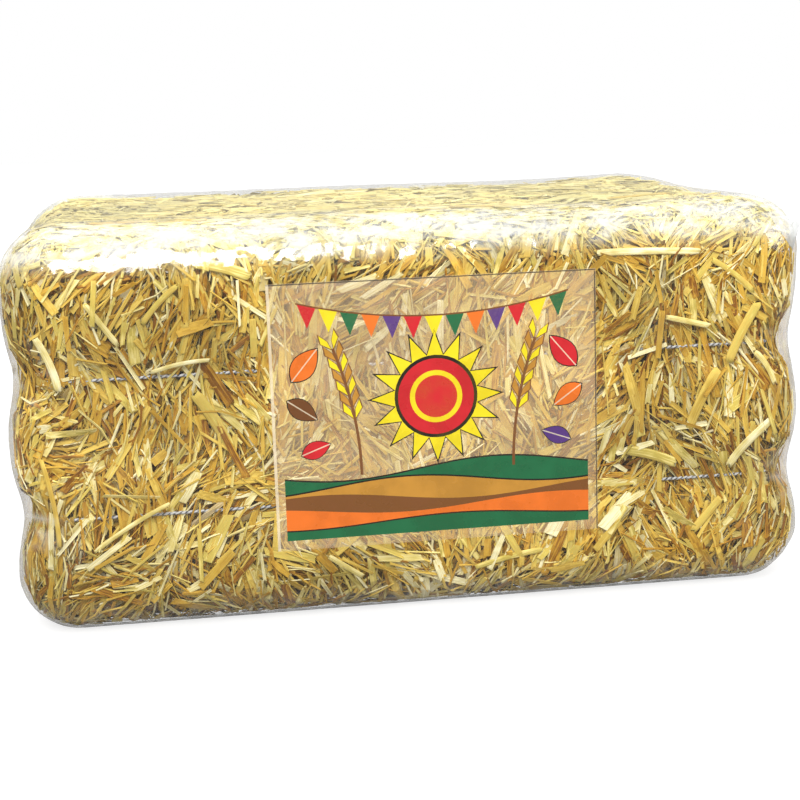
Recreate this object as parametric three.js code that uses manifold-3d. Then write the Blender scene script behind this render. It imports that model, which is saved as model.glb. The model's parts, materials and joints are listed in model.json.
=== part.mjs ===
// A small bale of chopped straw for display: pressed straw tied twice round with twine, sealed in clear
// shrink film and dressed with a see-through label. Millimetres, +Z up. X runs along the bale and its
// labelled front faces -Y. The origin is the middle of the underside, on which the bale rests.

import * as THREE from 'three';
import Module from 'manifold-3d';

const wasm = await Module();
wasm.setup();

// Driving dimensions
const INCH = 25.4;
const LENGTH = 16 * INCH;
const DEPTH = 11 * INCH;
const HEIGHT = 8 * INCH;
const EDGE_ROUND = new THREE.Vector3(32, 28, 30); // how far the rounding of an edge reaches, per axis
const TIE_HEIGHTS = { lower_tie: 60, upper_tie: 128 };
const TWINE_DIAMETER = 1.8;
const FILM_THICKNESS = 0.4;
const LABEL = { width: 162, height: 132, thickness: 0.3, across: 7, up: 105 };
const PIECE_GAP = 0.3;

// The plain box that the film fills, and the inner box whose corners carry the rounding
const FRONT_COVER = LABEL.thickness + PIECE_GAP;
const HALF = new THREE.Vector3(LENGTH, DEPTH - FRONT_COVER, HEIGHT).divideScalar(2);
const CENTRE = new THREE.Vector3(0, FRONT_COVER / 2, HEIGHT / 2);
const FLAT = HALF.clone().sub(EDGE_ROUND);

// How a surface lies within that box: how far inside it, how deep the waist is that a tie draws in
// (on an end, on a long side and on a corner, and how far up and down it reaches), and how much the
// surface swells and dents.
const FILM_SKIN = {
  inset: 0, underside: 0, swell: 1.4, dent: 0,
  waist: { end: 6, side: 0, corner: 1.5, reach: 17 },
};
const FILM_INSIDE = { ...FILM_SKIN, inset: FILM_THICKNESS, underside: FILM_THICKNESS };
const STRAW_SKIN = {
  inset: 4.3, underside: FILM_THICKNESS + PIECE_GAP, swell: 1.4, dent: 1.6,
  waist: { end: 11, side: 4, corner: 4, reach: 11 },
};

/** Repeatable random numbers from 0 to 1. */
function makeRandom(seed) {
  let state = seed;
  return () => {
    state = (state + 0x6d2b79f5) | 0;
    let mixed = Math.imul(state ^ (state >>> 15), 1 | state);
    mixed = (mixed + Math.imul(mixed ^ (mixed >>> 7), 61 | mixed)) ^ mixed;
    return ((mixed ^ (mixed >>> 14)) >>> 0) / 4294967296;
  };
}

/** How strongly the ties draw the bale in at a height: 1 at a tie, 0 far from it. */
function waistAt(height, reach) {
  const pulls = Object.values(TIE_HEIGHTS).map((tie) => Math.exp(-(((height - tie) / reach) ** 2)));
  return Math.min(1, pulls[0] + pulls[1]);
}

/** A slow wave over the bale, from -1 to 1. */
function slowWave(at, scale = 1) {
  const { x, y, z } = at.clone().multiplyScalar(scale);
  return 0.6 * Math.sin(x / 31 + 1.3) * Math.cos(y / 27 + z / 37 + 0.4)
    + 0.4 * Math.sin(x / 53 - y / 39 + z / 23 + 2.1);
}

/** The point of a surface that belongs to `on`, a point of the plain box round its middle. */
function formPoint(on, skin) {
  const core = on.clone().clamp(FLAT.clone().negate(), FLAT);
  const lean = on.clone().sub(core).divide(EDGE_ROUND).normalize();
  const radii = EDGE_ROUND.clone().subScalar(skin.inset);
  if (lean.z < 0) radii.z = EDGE_ROUND.z - skin.underside;
  const normal = lean.clone().divide(radii).normalize();
  const point = core.add(lean.multiply(radii)).add(CENTRE);

  const { end, side, corner, reach } = skin.waist;
  const level = new THREE.Vector3(normal.x, normal.y, 0);
  const upright = level.length();
  if (upright > 0) level.divideScalar(upright);
  const bite = end * level.x ** 2 + side * level.y ** 2 + corner * (2 * level.x * level.y) ** 2;
  point.addScaledVector(level, -bite * waistAt(point.z, reach) * upright);

  const free = (1 - waistAt(point.z, reach)) * THREE.MathUtils.smoothstep(normal.z, -0.95, -0.4);
  const swell = skin.swell * (slowWave(on) - 1) * (1 - normal.y ** 2);
  const dent = skin.dent * (0.5 + 0.5 * slowWave(on, 1.7));
  point.addScaledVector(normal, (swell - dent) * free);
  return { point, normal };
}

// The faces of the bale unrolled flat: a and b are distances from the middle of the face.
// The front carries on over its upper edge onto the top.
const FACES = {
  front: (a, b) => new THREE.Vector3(a, -HALF.y + Math.max(0, b - HALF.z), Math.min(b, HALF.z)),
  back: (a, b) => new THREE.Vector3(-a, HALF.y, b),
  top: (a, b) => new THREE.Vector3(a, b, HALF.z),
  left: (a, b) => new THREE.Vector3(-HALF.x, -a, b),
  right: (a, b) => new THREE.Vector3(HALF.x, a, b),
};

/** A frame on a surface: the point there, and the directions along a heading, aside and out. */
function surfaceFrame(face, a, b, heading, skin) {
  const step = 0.5;
  const at = (way) => formPoint(
    FACES[face](a + way * Math.cos(heading), b + way * Math.sin(heading)), skin);
  const { point, normal } = at(0);
  const along = at(step).point.sub(at(-step).point).normalize();
  const aside = new THREE.Vector3().crossVectors(normal, along).normalize();
  const out = new THREE.Vector3().crossVectors(along, aside);
  return { point, along, aside, out };
}

/** A geometry from plain lists of coordinates and triangle corners, turned to face outwards. */
function closedGeometry(positions, index) {
  const corner = (i) => new THREE.Vector3().fromArray(positions, 3 * index[i]);
  let volume = 0;
  for (let i = 0; i < index.length; i += 3) {
    volume += corner(i).dot(corner(i + 1).cross(corner(i + 2)));
  }
  const outward = volume > 0 ? index : index.slice().reverse();
  const geometry = new THREE.BufferGeometry();
  geometry.setAttribute('position', new THREE.Float32BufferAttribute(positions, 3));
  geometry.setIndex(outward);
  return geometry;
}

/** The same shape as a solid that can be joined and cut. */
function solid(geometry) {
  return new wasm.Manifold(new wasm.Mesh({
    numProp: 3,
    vertProperties: new Float32Array(geometry.attributes.position.array),
    triVerts: new Uint32Array(geometry.index.array),
  }));
}

/** The geometry of a joined or cut solid. */
function geometryOf(made) {
  const mesh = made.getMesh();
  return closedGeometry(Array.from(mesh.vertProperties), Array.from(mesh.triVerts));
}

/** A tube through rings of points, closed by flat ends, or joined into a loop. */
function tube(rings, loop = false) {
  const sides = rings[0].length;
  const index = [];
  const spans = loop ? rings.length : rings.length - 1;
  for (let i = 0; i < spans; i++) {
    const here = i * sides;
    const next = ((i + 1) % rings.length) * sides;
    for (let j = 0; j < sides; j++) {
      const k = (j + 1) % sides;
      index.push(here + j, next + j, next + k, here + j, next + k, here + k);
    }
  }
  const last = (rings.length - 1) * sides;
  for (let j = 1; j < sides - 1 && !loop; j++) {
    index.push(0, j, j + 1, last, last + j + 1, last + j);
  }
  return closedGeometry(rings.flat().flatMap((p) => p.toArray()), index);
}

/** An oval ring of points round a centre, as wide and as thick as given along two directions. */
function ovalRing(centre, wideWay, wide, thickWay, thick, sides = 6) {
  return Array.from({ length: sides }, (_, i) => {
    const turn = (2 * Math.PI * i) / sides;
    return centre.clone()
      .addScaledVector(wideWay, (wide / 2) * Math.cos(turn))
      .addScaledVector(thickWay, (thick / 2) * Math.sin(turn));
  });
}

/** Rows strictly inside a flat stretch, evenly spaced. */
function evenRows(flat, cells) {
  return Array.from({ length: cells - 1 }, (_, i) => -flat + (2 * flat * (i + 1)) / cells);
}

/** All the rows along one axis: those of both rounded ends and those between them. */
function allRows(axis, between) {
  const flat = FLAT.getComponent(axis);
  const round = EDGE_ROUND.getComponent(axis);
  const far = [flat, flat + round * Math.tan(Math.PI / 8), flat + round];
  return [...far.map((row) => -row).reverse(), ...between, ...far];
}

/** Rows up the bale at the given distances from each tie, and at the other heights given. */
function heightRows(fromTie, others) {
  const heights = Object.values(TIE_HEIGHTS).flatMap((tie) => fromTie.map((d) => tie + d));
  return [...heights, ...others].sort((p, q) => p - q).map((height) => height - CENTRE.z);
}

/** The rows of the film, which spans the waists in broad bands. */
function filmRows() {
  return [
    allRows(0, evenRows(FLAT.x, 6)),
    allRows(1, evenRows(FLAT.y, 4)),
    allRows(2, heightRows([-18, 0, 18], [])),
  ];
}

/** A closed grid over the plain box, with the given rows along each axis, moved onto a surface. */
function formGeometry(rows, skin) {
  const positions = [];
  const index = [];
  const corners = new Map();
  const vertex = (on) => {
    const key = on.toArray().map((v) => v.toFixed(3)).join();
    if (!corners.has(key)) {
      corners.set(key, corners.size);
      positions.push(...formPoint(on, skin).point.toArray());
    }
    return corners.get(key);
  };
  for (const [axis, u, v] of [[0, 1, 2], [1, 2, 0], [2, 0, 1]]) {
    for (const side of [-1, 1]) {
      const at = (i, j) => vertex(new THREE.Vector3()
        .setComponent(axis, side * HALF.getComponent(axis))
        .setComponent(u, rows[u][i])
        .setComponent(v, rows[v][j]));
      for (let i = 0; i < rows[u].length - 1; i++) {
        for (let j = 0; j < rows[v].length - 1; j++) {
          const quad = [at(i, j), at(i + 1, j), at(i + 1, j + 1), at(i, j + 1)];
          if (side < 0) quad.reverse();
          index.push(quad[0], quad[1], quad[2], quad[0], quad[2], quad[3]);
        }
      }
    }
  }
  return closedGeometry(positions, index);
}

// Stalks that lie loose under the film, by face. Each row is the place of its middle on the face,
// its angle in degrees, its length, its width, and how far it bows to the side.
const STALKS = {
  front: [
    [116, 76, -2, 52, 3.6, 0.5], [159, 62, -38, 27, 3.0, 1], [165, 33, 62, 33, 5.0, 1],
    [136, 40, -14, 22, 3.0, 0], [178, 14, -52, 22, 3.2, 1], [144, 0, 63, 33, 5.4, 1],
    [170, -24, 42, 34, 4.4, 2], [117, -28, -18, 26, 5.4, 1], [146, -60, 48, 22, 4.4, 0],
    [-94, 78, -18, 28, 5.6, 1], [-152, 54, -55, 24, 3.0, 0], [-124, 62, 45, 24, 3.0, 1],
    [-102, 4, -61, 32, 6.0, 1], [-116, 32, 9, 28, 2.2, 1], [-180, 36, -65, 28, 4.0, 2],
    [-184, -32, -80, 44, 2.6, 2], [-144, -46, 30, 42, 2.4, 1], [-40, -74, -36, 20, 3.0, 0],
    [42, -76, 12, 34, 3.2, 1],
  ],
  top: [
    [-128, -84, 8, 58, 4.2, 3], [-44, -62, -14, 46, 3.4, 2], [52, -84, 5, 52, 5.0, 2],
    [136, -50, 24, 44, 3.2, 2], [-90, 12, -30, 50, 4.0, 3], [18, 4, 18, 56, 3.4, 3],
    [104, 34, -10, 48, 4.6, 2], [-24, 76, 6, 54, 3.6, 2],
  ],
  back: [
    [-96, 62, -12, 50, 4.2, 2], [64, 60, 16, 44, 3.4, 2], [136, 2, -64, 40, 4.6, 1],
    [-142, -4, 58, 38, 3.6, 1], [-70, -72, 10, 52, 3.8, 2],
  ],
  left: [[-52, 62, -8, 42, 4.0, 1], [24, 2, 72, 32, 3.4, 1], [72, -2, -48, 30, 4.2, 1]],
  right: [[-42, 60, 12, 44, 3.6, 1], [34, -2, -60, 32, 4.4, 1], [-66, -70, 8, 36, 3.6, 1]],
};
const STALK = { cover: 1.6, thickness: 2.1, long: 30, room: 0.36 };
const STALK_SKIN = { ...FILM_SKIN, inset: STALK.cover + STALK.thickness / 2 };
const STALK_COLOURS = ['#e3cd8b', '#d6b968', '#efe0ae', '#c9a24e', '#ddd08f'];

/** A flattened stalk that follows the inside of the film; `room` grows it on all sides. */
function stalkGeometry(face, row, room = 0) {
  const [a, b, degrees, length, width, bow] = row;
  const heading = THREE.MathUtils.degToRad(degrees);
  const spans = length > STALK.long ? 3 : 2;
  const rings = Array.from({ length: spans + 1 }, (_, i) => {
    const share = i / spans - 0.5;
    const way = share * (length + 2 * room);
    const aside = bow * (1 - 4 * share ** 2);
    const frame = surfaceFrame(face,
      a + way * Math.cos(heading) - aside * Math.sin(heading),
      b + way * Math.sin(heading) + aside * Math.cos(heading),
      heading, STALK_SKIN);
    return ovalRing(frame.point, frame.aside, width + 2 * room, frame.out, STALK.thickness + 2 * room);
  });
  return tube(rings);
}

/** The loose stalks, each a mesh placed at its own middle. */
function looseStalks() {
  const all = Object.entries(STALKS).flatMap(([face, rows]) => rows.map((row, i) => ({
    name: `stalk_${face}_${String(i + 1).padStart(2, '0')}`,
    geometry: stalkGeometry(face, row),
  })));
  return all.map(({ name, geometry }, i) => {
    const color = STALK_COLOURS[i % STALK_COLOURS.length];
    return placed(name, geometry, new THREE.MeshStandardMaterial({ color, roughness: 0.75 }));
  });
}

const TIE_STANDOFF = 1.0; // from the middle of the groove to the twine
const KNOT = { across: -38, diameter: 4.4, tail: 17, rise: 16 };
const UP = new THREE.Vector3(0, 0, 1);
const BACKWARD = new THREE.Vector3(0, 1, 0);

/** Places all the way round the plain box at one height, closer together on its corners. */
function aroundBox(height) {
  const [alongX, alongY] = [0, 1].map((axis) => {
    const flat = FLAT.getComponent(axis);
    const round = EDGE_ROUND.getComponent(axis);
    const far = [0, 0.2, 0.41, 0.67, 1].map((share) => flat + round * share);
    return [...far.slice(0, -1).map((row) => -row).reverse(), ...far];
  });
  const z = height - CENTRE.z;
  return [
    ...alongX.map((x) => new THREE.Vector3(x, -HALF.y, z)),
    ...alongY.map((y) => new THREE.Vector3(HALF.x, y, z)),
    ...alongX.map((x) => new THREE.Vector3(-x, HALF.y, z)),
    ...alongY.map((y) => new THREE.Vector3(-HALF.x, -y, z)),
  ];
}

/** A straight rod or, with a bulge, a bead: rings along one direction from a point. */
function rod(from, way, stations) {
  const across = new THREE.Vector3().crossVectors(way, BACKWARD);
  const rings = stations.map(([along, diameter]) => ovalRing(
    from.clone().addScaledVector(way, along), BACKWARD, diameter, across, diameter));
  return solid(tube(rings));
}

/** One tie round the bale, with its knot and two tails at the back; `room` grows it on all sides. */
function tieSolid(height, room = 0) {
  const diameter = TWINE_DIAMETER + 2 * room;
  const path = aroundBox(height).map((on) => {
    const { point, normal } = formPoint(on, STRAW_SKIN);
    const level = new THREE.Vector3(normal.x, normal.y, 0).normalize();
    return point.setZ(height).addScaledVector(level, TIE_STANDOFF + TWINE_DIAMETER / 2);
  });
  const rings = path.map((p, i) => {
    const before = path.at(i - 1);
    const after = path[(i + 1) % path.length];
    const out = new THREE.Vector3().crossVectors(after.clone().sub(before).normalize(), UP);
    return ovalRing(p, out, diameter, UP, diameter);
  });
  const backmost = Math.max(...path.map((p) => p.y));
  const knotAt = new THREE.Vector3(KNOT.across, backmost + TWINE_DIAMETER / 2, height);
  const radius = KNOT.diameter / 2 + room;
  const bead = [-0.9, -0.45, 0.45, 0.9].map(
    (share) => [share * radius, 2 * radius * Math.sqrt(1 - share ** 2)]);
  const tails = [KNOT.rise, 180 - KNOT.rise].map((degrees) => {
    const turn = THREE.MathUtils.degToRad(degrees);
    const way = new THREE.Vector3(Math.cos(turn), 0, Math.sin(turn));
    return rod(knotAt, way, [[0, diameter], [KNOT.tail + room, diameter]]);
  });
  const knot = rod(knotAt, new THREE.Vector3(1, 0, 0), bead);
  return wasm.Manifold.union([solid(tube(rings, true)), knot, ...tails]);
}

// How many chopped pieces stand out of the pressed mass on each face, and along its edges
const CHIPS = { front: 15, back: 12, top: 16, left: 6, right: 6 };
const EDGE_CHIPS = 18;
const CHIP = { length: [16, 46], width: [2.6, 6.5], thickness: 3.2, proud: 1.3, cover: 1.6 };
const CHIP_OVERHANG = 6; // how far a chip may reach from the flat of a face onto its rounding
const EDGE_BAND = 13;

/** A chopped piece: a flat bar half sunk in the mass. */
function chipSolid(face, a, b, heading, length, width) {
  const { point, along, aside, out } = surfaceFrame(face, a, b, heading, STRAW_SKIN);
  point.addScaledVector(out, CHIP.proud - CHIP.thickness / 2);
  const ring = (way) => [[1, 1], [-1, 1], [-1, -1], [1, -1]].map(([s, t]) => point.clone()
    .addScaledVector(along, way * length / 2)
    .addScaledVector(aside, s * width / 2)
    .addScaledVector(out, t * CHIP.thickness / 2));
  return solid(tube([ring(-1), ring(1)]));
}

/** All the chopped pieces: those scattered on the flat faces, and those that follow an edge. */
function chipSolids(random) {
  const between = ([low, high]) => low + (high - low) * random();
  const halves = { front: [0, 2], back: [0, 2], top: [0, 1], left: [1, 2], right: [1, 2] };
  const flatOf = (face) => halves[face].map((axis) => FLAT.getComponent(axis));
  const onFaces = Object.entries(CHIPS).flatMap(([face, count]) => {
    const [flatA, flatB] = flatOf(face);
    return Array.from({ length: count }, () => {
      const heading = Math.PI * random();
      const length = between(CHIP.length);
      const freeA = flatA + CHIP_OVERHANG - Math.abs(Math.cos(heading)) * length / 2;
      const freeB = flatB + CHIP_OVERHANG - Math.abs(Math.sin(heading)) * length / 2;
      return chipSolid(face, between([-freeA, freeA]), between([-freeB, freeB]), heading,
        length, between(CHIP.width));
    });
  });
  // Upper edges are taken from the top face and its two ends, upright edges from the long sides.
  const onEdges = Array.from({ length: EDGE_CHIPS }, () => {
    const face = ['top', 'top', 'left', 'right', 'front', 'back'][Math.floor(6 * random())];
    const side = random() < 0.5 ? -1 : 1;
    const length = between(CHIP.length);
    const inward = EDGE_BAND * random();
    const turn = 0.1 * (random() - 0.5);
    const [flatA, flatB] = flatOf(face);
    if (face === 'front' || face === 'back') {
      const reach = flatB - length / 2;
      return chipSolid(face, side * (HALF.x - inward), between([-reach, reach]), Math.PI / 2 + turn,
        length, between([2.6, 4]));
    }
    const reach = flatA - length / 2;
    const edge = face === 'top' ? side * (HALF.y - inward) : HALF.z - inward;
    return chipSolid(face, between([-reach, reach]), edge, turn, length, between([2.6, 4]));
  });
  return [...onFaces, ...onEdges];
}

/** The pressed straw, with chopped pieces standing out of it and room for the ties and loose stalks. */
function strawMass() {
  const rows = [
    allRows(0, evenRows(FLAT.x, 8)),
    allRows(1, evenRows(FLAT.y, 6)),
    allRows(2, heightRows([-12, -2.5, 2.5, 12], [94])),
  ];
  const pressed = solid(formGeometry(rows, STRAW_SKIN));
  const underFilm = solid(formGeometry(filmRows(), { ...FILM_INSIDE, inset: CHIP.cover }));
  const whole = wasm.Manifold.union([pressed, ...chipSolids(makeRandom(11))]).intersect(underFilm);
  const ties = Object.values(TIE_HEIGHTS).map((height) => tieSolid(height, STALK.room));
  const stalks = Object.entries(STALKS).flatMap(([face, list]) =>
    list.map((row) => solid(stalkGeometry(face, row, STALK.room))));
  const pieces = whole.subtract(wasm.Manifold.union([...ties, ...stalks])).decompose();
  return pieces.sort((p, q) => q.volume() - p.volume())[0];
}

// Where the seals of the film stand off as ears: a long low one at the back of the left end and a
// small one at the front of the right end, each an upright flap given by its outline in X and Z.
const EARS = [
  { y: 120, outline: [[-146, 199], [-160, 203], [-180, 202], [-194, 196], [-202, 185], [-199, 170]] },
  { y: -130, outline: [[193, 174], [197, 187], [190, 191], [180, 192]] },
];
const EAR_THICKNESS = 0.8;
const VENT = { diameter: 8, across: 110, height: 94 };

/** A thin upright flap that reaches from inside the film out of its rounding. */
function earSolid({ y, outline }) {
  const ring = (side) => outline.map(([x, z]) => new THREE.Vector3(x, y + side * EAR_THICKNESS / 2, z));
  return solid(tube([ring(-1), ring(1)]));
}

/** The shrink film: a thin skin with ears at two corners and two vents in its back. */
function shrinkFilm() {
  const outside = solid(formGeometry(filmRows(), FILM_SKIN));
  const inside = solid(formGeometry(filmRows(), FILM_INSIDE));
  const vents = [-VENT.across, VENT.across].map((x) => {
    const ring = (y) => ovalRing(new THREE.Vector3(x, y, VENT.height),
      new THREE.Vector3(1, 0, 0), VENT.diameter, UP, VENT.diameter, 12);
    return solid(tube([ring(DEPTH / 2 - 3), ring(DEPTH / 2 + 3)]));
  });
  return wasm.Manifold.union([outside, ...EARS.map(earSolid)])
    .subtract(wasm.Manifold.union([inside, ...vents]));
}

/** A named mesh whose geometry is centred on the place where it stands. */
function placed(name, geometry, material) {
  geometry.computeBoundingBox();
  const middle = geometry.boundingBox.getCenter(new THREE.Vector3());
  const mesh = new THREE.Mesh(geometry.translate(-middle.x, -middle.y, -middle.z), material);
  mesh.name = name;
  mesh.position.copy(middle);
  return mesh;
}

const MATERIALS = {
  straw: new THREE.MeshStandardMaterial({ color: '#c9a95c', roughness: 0.9 }),
  twine: new THREE.MeshStandardMaterial({ color: '#d8d6cf', roughness: 0.6 }),
  film: new THREE.MeshStandardMaterial({
    color: '#f3f5f0', roughness: 0.15, transparent: true, opacity: 0.22,
  }),
  label: new THREE.MeshStandardMaterial({
    color: '#d9b98f', roughness: 0.4, transparent: true, opacity: 0.7,
  }),
};

const bale = new THREE.Group();

const straw = new THREE.Group();
straw.add(placed('straw_block', geometryOf(strawMass()), MATERIALS.straw));
straw.add(...looseStalks());
bale.add(straw);

for (const [name, height] of Object.entries(TIE_HEIGHTS)) {
  bale.add(placed(name, geometryOf(tieSolid(height)), MATERIALS.twine));
}

bale.add(placed('shrink_film', geometryOf(shrinkFilm()), MATERIALS.film));

const label = new THREE.BoxGeometry(LABEL.width, LABEL.thickness, LABEL.height);
label.translate(LABEL.across, -(DEPTH - LABEL.thickness) / 2, LABEL.up);
bale.add(placed('label', label, MATERIALS.label));

export default bale;
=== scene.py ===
"""A display bale of chopped straw: tied twice round, sealed in clear film and dressed with a label.

Everything is in metres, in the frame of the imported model: X runs along the bale, its labelled front
faces -Y, and Z is up from the middle of its underside.
"""
from __future__ import annotations

import json
import logging
import math
from dataclasses import dataclass, field
from enum import Enum
from typing import Iterable, Sequence

import bmesh
import bpy
import numpy as np
from mathutils import Euler, Matrix, Vector, noise

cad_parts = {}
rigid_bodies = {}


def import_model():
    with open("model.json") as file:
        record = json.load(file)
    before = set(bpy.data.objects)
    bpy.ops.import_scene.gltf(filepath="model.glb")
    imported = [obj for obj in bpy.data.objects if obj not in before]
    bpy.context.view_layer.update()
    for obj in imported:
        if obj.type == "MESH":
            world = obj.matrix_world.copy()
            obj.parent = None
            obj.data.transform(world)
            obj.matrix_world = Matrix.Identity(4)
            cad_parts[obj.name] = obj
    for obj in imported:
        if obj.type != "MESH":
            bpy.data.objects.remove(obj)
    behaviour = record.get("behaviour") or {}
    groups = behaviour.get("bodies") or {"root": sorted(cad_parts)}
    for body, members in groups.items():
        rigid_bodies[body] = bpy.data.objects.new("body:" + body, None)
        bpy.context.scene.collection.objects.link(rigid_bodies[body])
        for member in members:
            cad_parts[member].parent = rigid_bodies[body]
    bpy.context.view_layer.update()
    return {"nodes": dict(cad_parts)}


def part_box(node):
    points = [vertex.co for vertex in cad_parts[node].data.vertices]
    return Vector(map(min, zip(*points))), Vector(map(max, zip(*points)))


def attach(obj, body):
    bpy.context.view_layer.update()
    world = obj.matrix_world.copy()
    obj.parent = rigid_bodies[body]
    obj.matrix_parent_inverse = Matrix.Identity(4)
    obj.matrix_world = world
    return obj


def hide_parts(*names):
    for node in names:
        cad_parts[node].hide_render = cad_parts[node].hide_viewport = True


MM = 0.001
INCH = 25.4 * MM
QUARTER_ROUND = math.pi / 4
LOG = logging.getLogger("straw_bale")
ROOT = "root"
UV_LAYER = "UVMap"
Points = np.ndarray
Colour = tuple[float, float, float]


def srgb(code: str) -> Colour:
    """A linear colour from a web colour code.

    Args:
        code: six hexadecimal digits after a hash sign.
    Returns:
        The linear red, green and blue.
    """
    values = [int(code[i:i + 2], 16) / 255 for i in (1, 3, 5)]
    return tuple(v / 12.92 if v <= 0.04045 else ((v + 0.055) / 1.055) ** 2.4 for v in values)


def unit(vectors: Points) -> Points:
    """Vectors of length one along the last axis."""
    return vectors / np.maximum(np.linalg.norm(vectors, axis=-1, keepdims=True), 1e-12)


def smooth(values: Points, low: float, high: float) -> Points:
    """A smooth step from 0 at low to 1 at high."""
    share = np.clip((values - low) / (high - low), 0, 1)
    return share * share * (3 - 2 * share)


# The bale's form, as in its solids

@dataclass(frozen=True)
class Skin:
    """How a surface lies within the plain rounded box of the bale, in metres."""

    inset: float
    underside: float
    swell: float
    dent: float
    waist_end: float
    waist_side: float
    waist_corner: float
    waist_reach: float


FILM_SKIN = Skin(0, 0, 1.4 * MM, 0, 6 * MM, 0, 1.5 * MM, 17 * MM)
STRAW_SKIN = Skin(4.3 * MM, 0.7 * MM, 1.4 * MM, 1.6 * MM, 11 * MM, 4 * MM, 4 * MM, 11 * MM)


class Face(Enum):
    """A side of the bale: the axis it faces along, its sign, and the axes that its sheet runs along."""

    FRONT = (1, -1, (0, 1), (2, 1))
    BACK = (1, 1, (0, -1), (2, 1))
    TOP = (2, 1, (0, 1), (1, 1))
    UNDERSIDE = (2, -1, (0, 1), (1, -1))
    LEFT = (0, -1, (1, -1), (2, 1))
    RIGHT = (0, 1, (1, 1), (2, 1))


@dataclass
class BaleForm:
    """The rounded, waisted box that all the bale's layers follow."""

    length: float = 16 * INCH
    height: float = 8 * INCH
    edge_round: Points = field(default_factory=lambda: np.array([32, 28, 30]) * MM)
    knot_below: float = 2.2 * MM
    steepest: float = 1.38

    def __post_init__(self) -> None:
        """Takes the box and the heights of the ties from the frame."""
        low, high = (np.array(corner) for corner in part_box("shrink_film"))
        self.centre = (low + high) / 2
        self.centre[0] = 0
        self.half = (high - low) / 2
        self.half[0] = self.length / 2
        self.half[2] = self.centre[2] = self.height / 2
        self.flat = self.half - self.edge_round
        self.ties = [sum(corner[2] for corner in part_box(name)) / 2 - self.knot_rise
                     for name in ("lower_tie", "upper_tie")]

    @property
    def knot_rise(self) -> float:
        """How far the middle of a tie's box is above its twine, because its tails point up."""
        low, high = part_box("lower_tie")
        return (high[2] - low[2]) / 2 - self.knot_below

    def waist(self, height: Points, reach: float) -> Points:
        """How strongly the ties draw the bale in at each height, from 0 to 1."""
        return np.minimum(1, sum(np.exp(-((height - tie) / reach) ** 2) for tie in self.ties))

    @staticmethod
    def wave(on: Points, scale: float = 1) -> Points:
        """A slow wave over the bale.

        Args:
            on: points of the plain box.
            scale: how much faster than usual the wave turns.
        Returns:
            A value from -1 to 1 for each.
        """
        x, y, z = (on * scale / MM).T
        return (0.6 * np.sin(x / 31 + 1.3) * np.cos(y / 27 + z / 37 + 0.4)
                + 0.4 * np.sin(x / 53 - y / 39 + z / 23 + 2.1))

    def surface(self, on: Points, skin: Skin) -> tuple[Points, Points]:
        """The surface points that belong to points of the plain box.

        Args:
            on: points of the plain box, counted from its middle.
            skin: how the surface lies in the box.
        Returns:
            The surface points and the outward directions there.
        """
        core = np.clip(on, -self.flat, self.flat)
        lean = unit((on - core) / self.edge_round)
        radii = np.broadcast_to(self.edge_round - skin.inset, on.shape).copy()
        radii[lean[:, 2] < 0, 2] = self.edge_round[2] - skin.underside
        normal = unit(lean / radii)
        point = core + lean * radii + self.centre

        level = normal[:, :2]
        upright = np.linalg.norm(level, axis=1)
        level = level / np.maximum(upright, 1e-9)[:, None]
        along, across = level.T
        bite = (skin.waist_end * along ** 2 + skin.waist_side * across ** 2
                + skin.waist_corner * (2 * along * across) ** 2)
        point[:, :2] -= level * (bite * self.waist(point[:, 2], skin.waist_reach) * upright)[:, None]

        free = (1 - self.waist(point[:, 2], skin.waist_reach)) * smooth(normal[:, 2], -0.95, -0.4)
        swell = skin.swell * (self.wave(on) - 1) * (1 - normal[:, 1] ** 2)
        dent = skin.dent * (0.5 + 0.5 * self.wave(on, 1.7))
        point += normal * ((swell - dent) * free)[:, None]
        return point, normal

    def reach(self, face: Face) -> tuple[float, float]:
        """Half the width and half the height of a face's sheet, to the middle of its round edges.

        Args:
            face: the side of the bale.
        Returns:
            The two half lengths, measured along the surface.
        """
        _, _, (u, _), (v, _) = face.value
        return tuple(self.flat[axis] + self.edge_round[axis] * QUARTER_ROUND for axis in (u, v))

    def on_box(self, face: Face, sheet: Points) -> Points:
        """Points of the plain box for points of a face's sheet, which lies along the surface.

        Args:
            face: the side of the bale.
            sheet: the two distances from the middle of the face, a row each.
        Returns:
            The points of the plain box, or of its sides' planes just outside it.
        """
        normal_axis, side, *ways = face.value
        on = np.zeros((len(sheet), 3))
        on[:, normal_axis] = side * self.half[normal_axis]
        for column, (axis, way) in enumerate(ways):
            value = sheet[:, column] * way
            over = np.abs(value) - self.flat[axis]
            angle = np.clip(over / self.edge_round[axis], 0, self.steepest)
            past = np.sign(value) * (self.flat[axis] + self.edge_round[axis] * np.tan(angle))
            on[:, axis] = np.where(over > 0, past, value)
        return on


# Mesh and node helpers

def make_object(name: str, points: Points, faces: Sequence[Sequence[int]],
                materials: Iterable[bpy.types.Material] = ()) -> bpy.types.Object:
    """A mesh object at the origin, in the scene.

    Args:
        name: the piece's name.
        points: its vertices, in metres.
        faces: its faces, as rows of vertex numbers.
        materials: its material slots.
    Returns:
        The new object.
    """
    mesh = bpy.data.meshes.new(name)
    mesh.from_pydata(np.asarray(points).tolist(), [], [list(map(int, f)) for f in faces])
    for material in materials:
        mesh.materials.append(material)
    mesh.shade_smooth()
    made = bpy.data.objects.new(name, mesh)
    bpy.context.scene.collection.objects.link(made)
    return made


def set_uv(made: bpy.types.Object, uv: Points) -> None:
    """Gives each corner of a mesh the flat place of its vertex.

    Args:
        made: the object.
        uv: one flat place a vertex.
    """
    mesh = made.data
    corner = np.empty(len(mesh.loops), dtype=np.int32)
    mesh.loops.foreach_get("vertex_index", corner)
    layer = mesh.uv_layers.new(name=UV_LAYER)
    layer.uv.foreach_set("vector", np.asarray(uv, dtype=np.float32)[corner].ravel())


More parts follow.
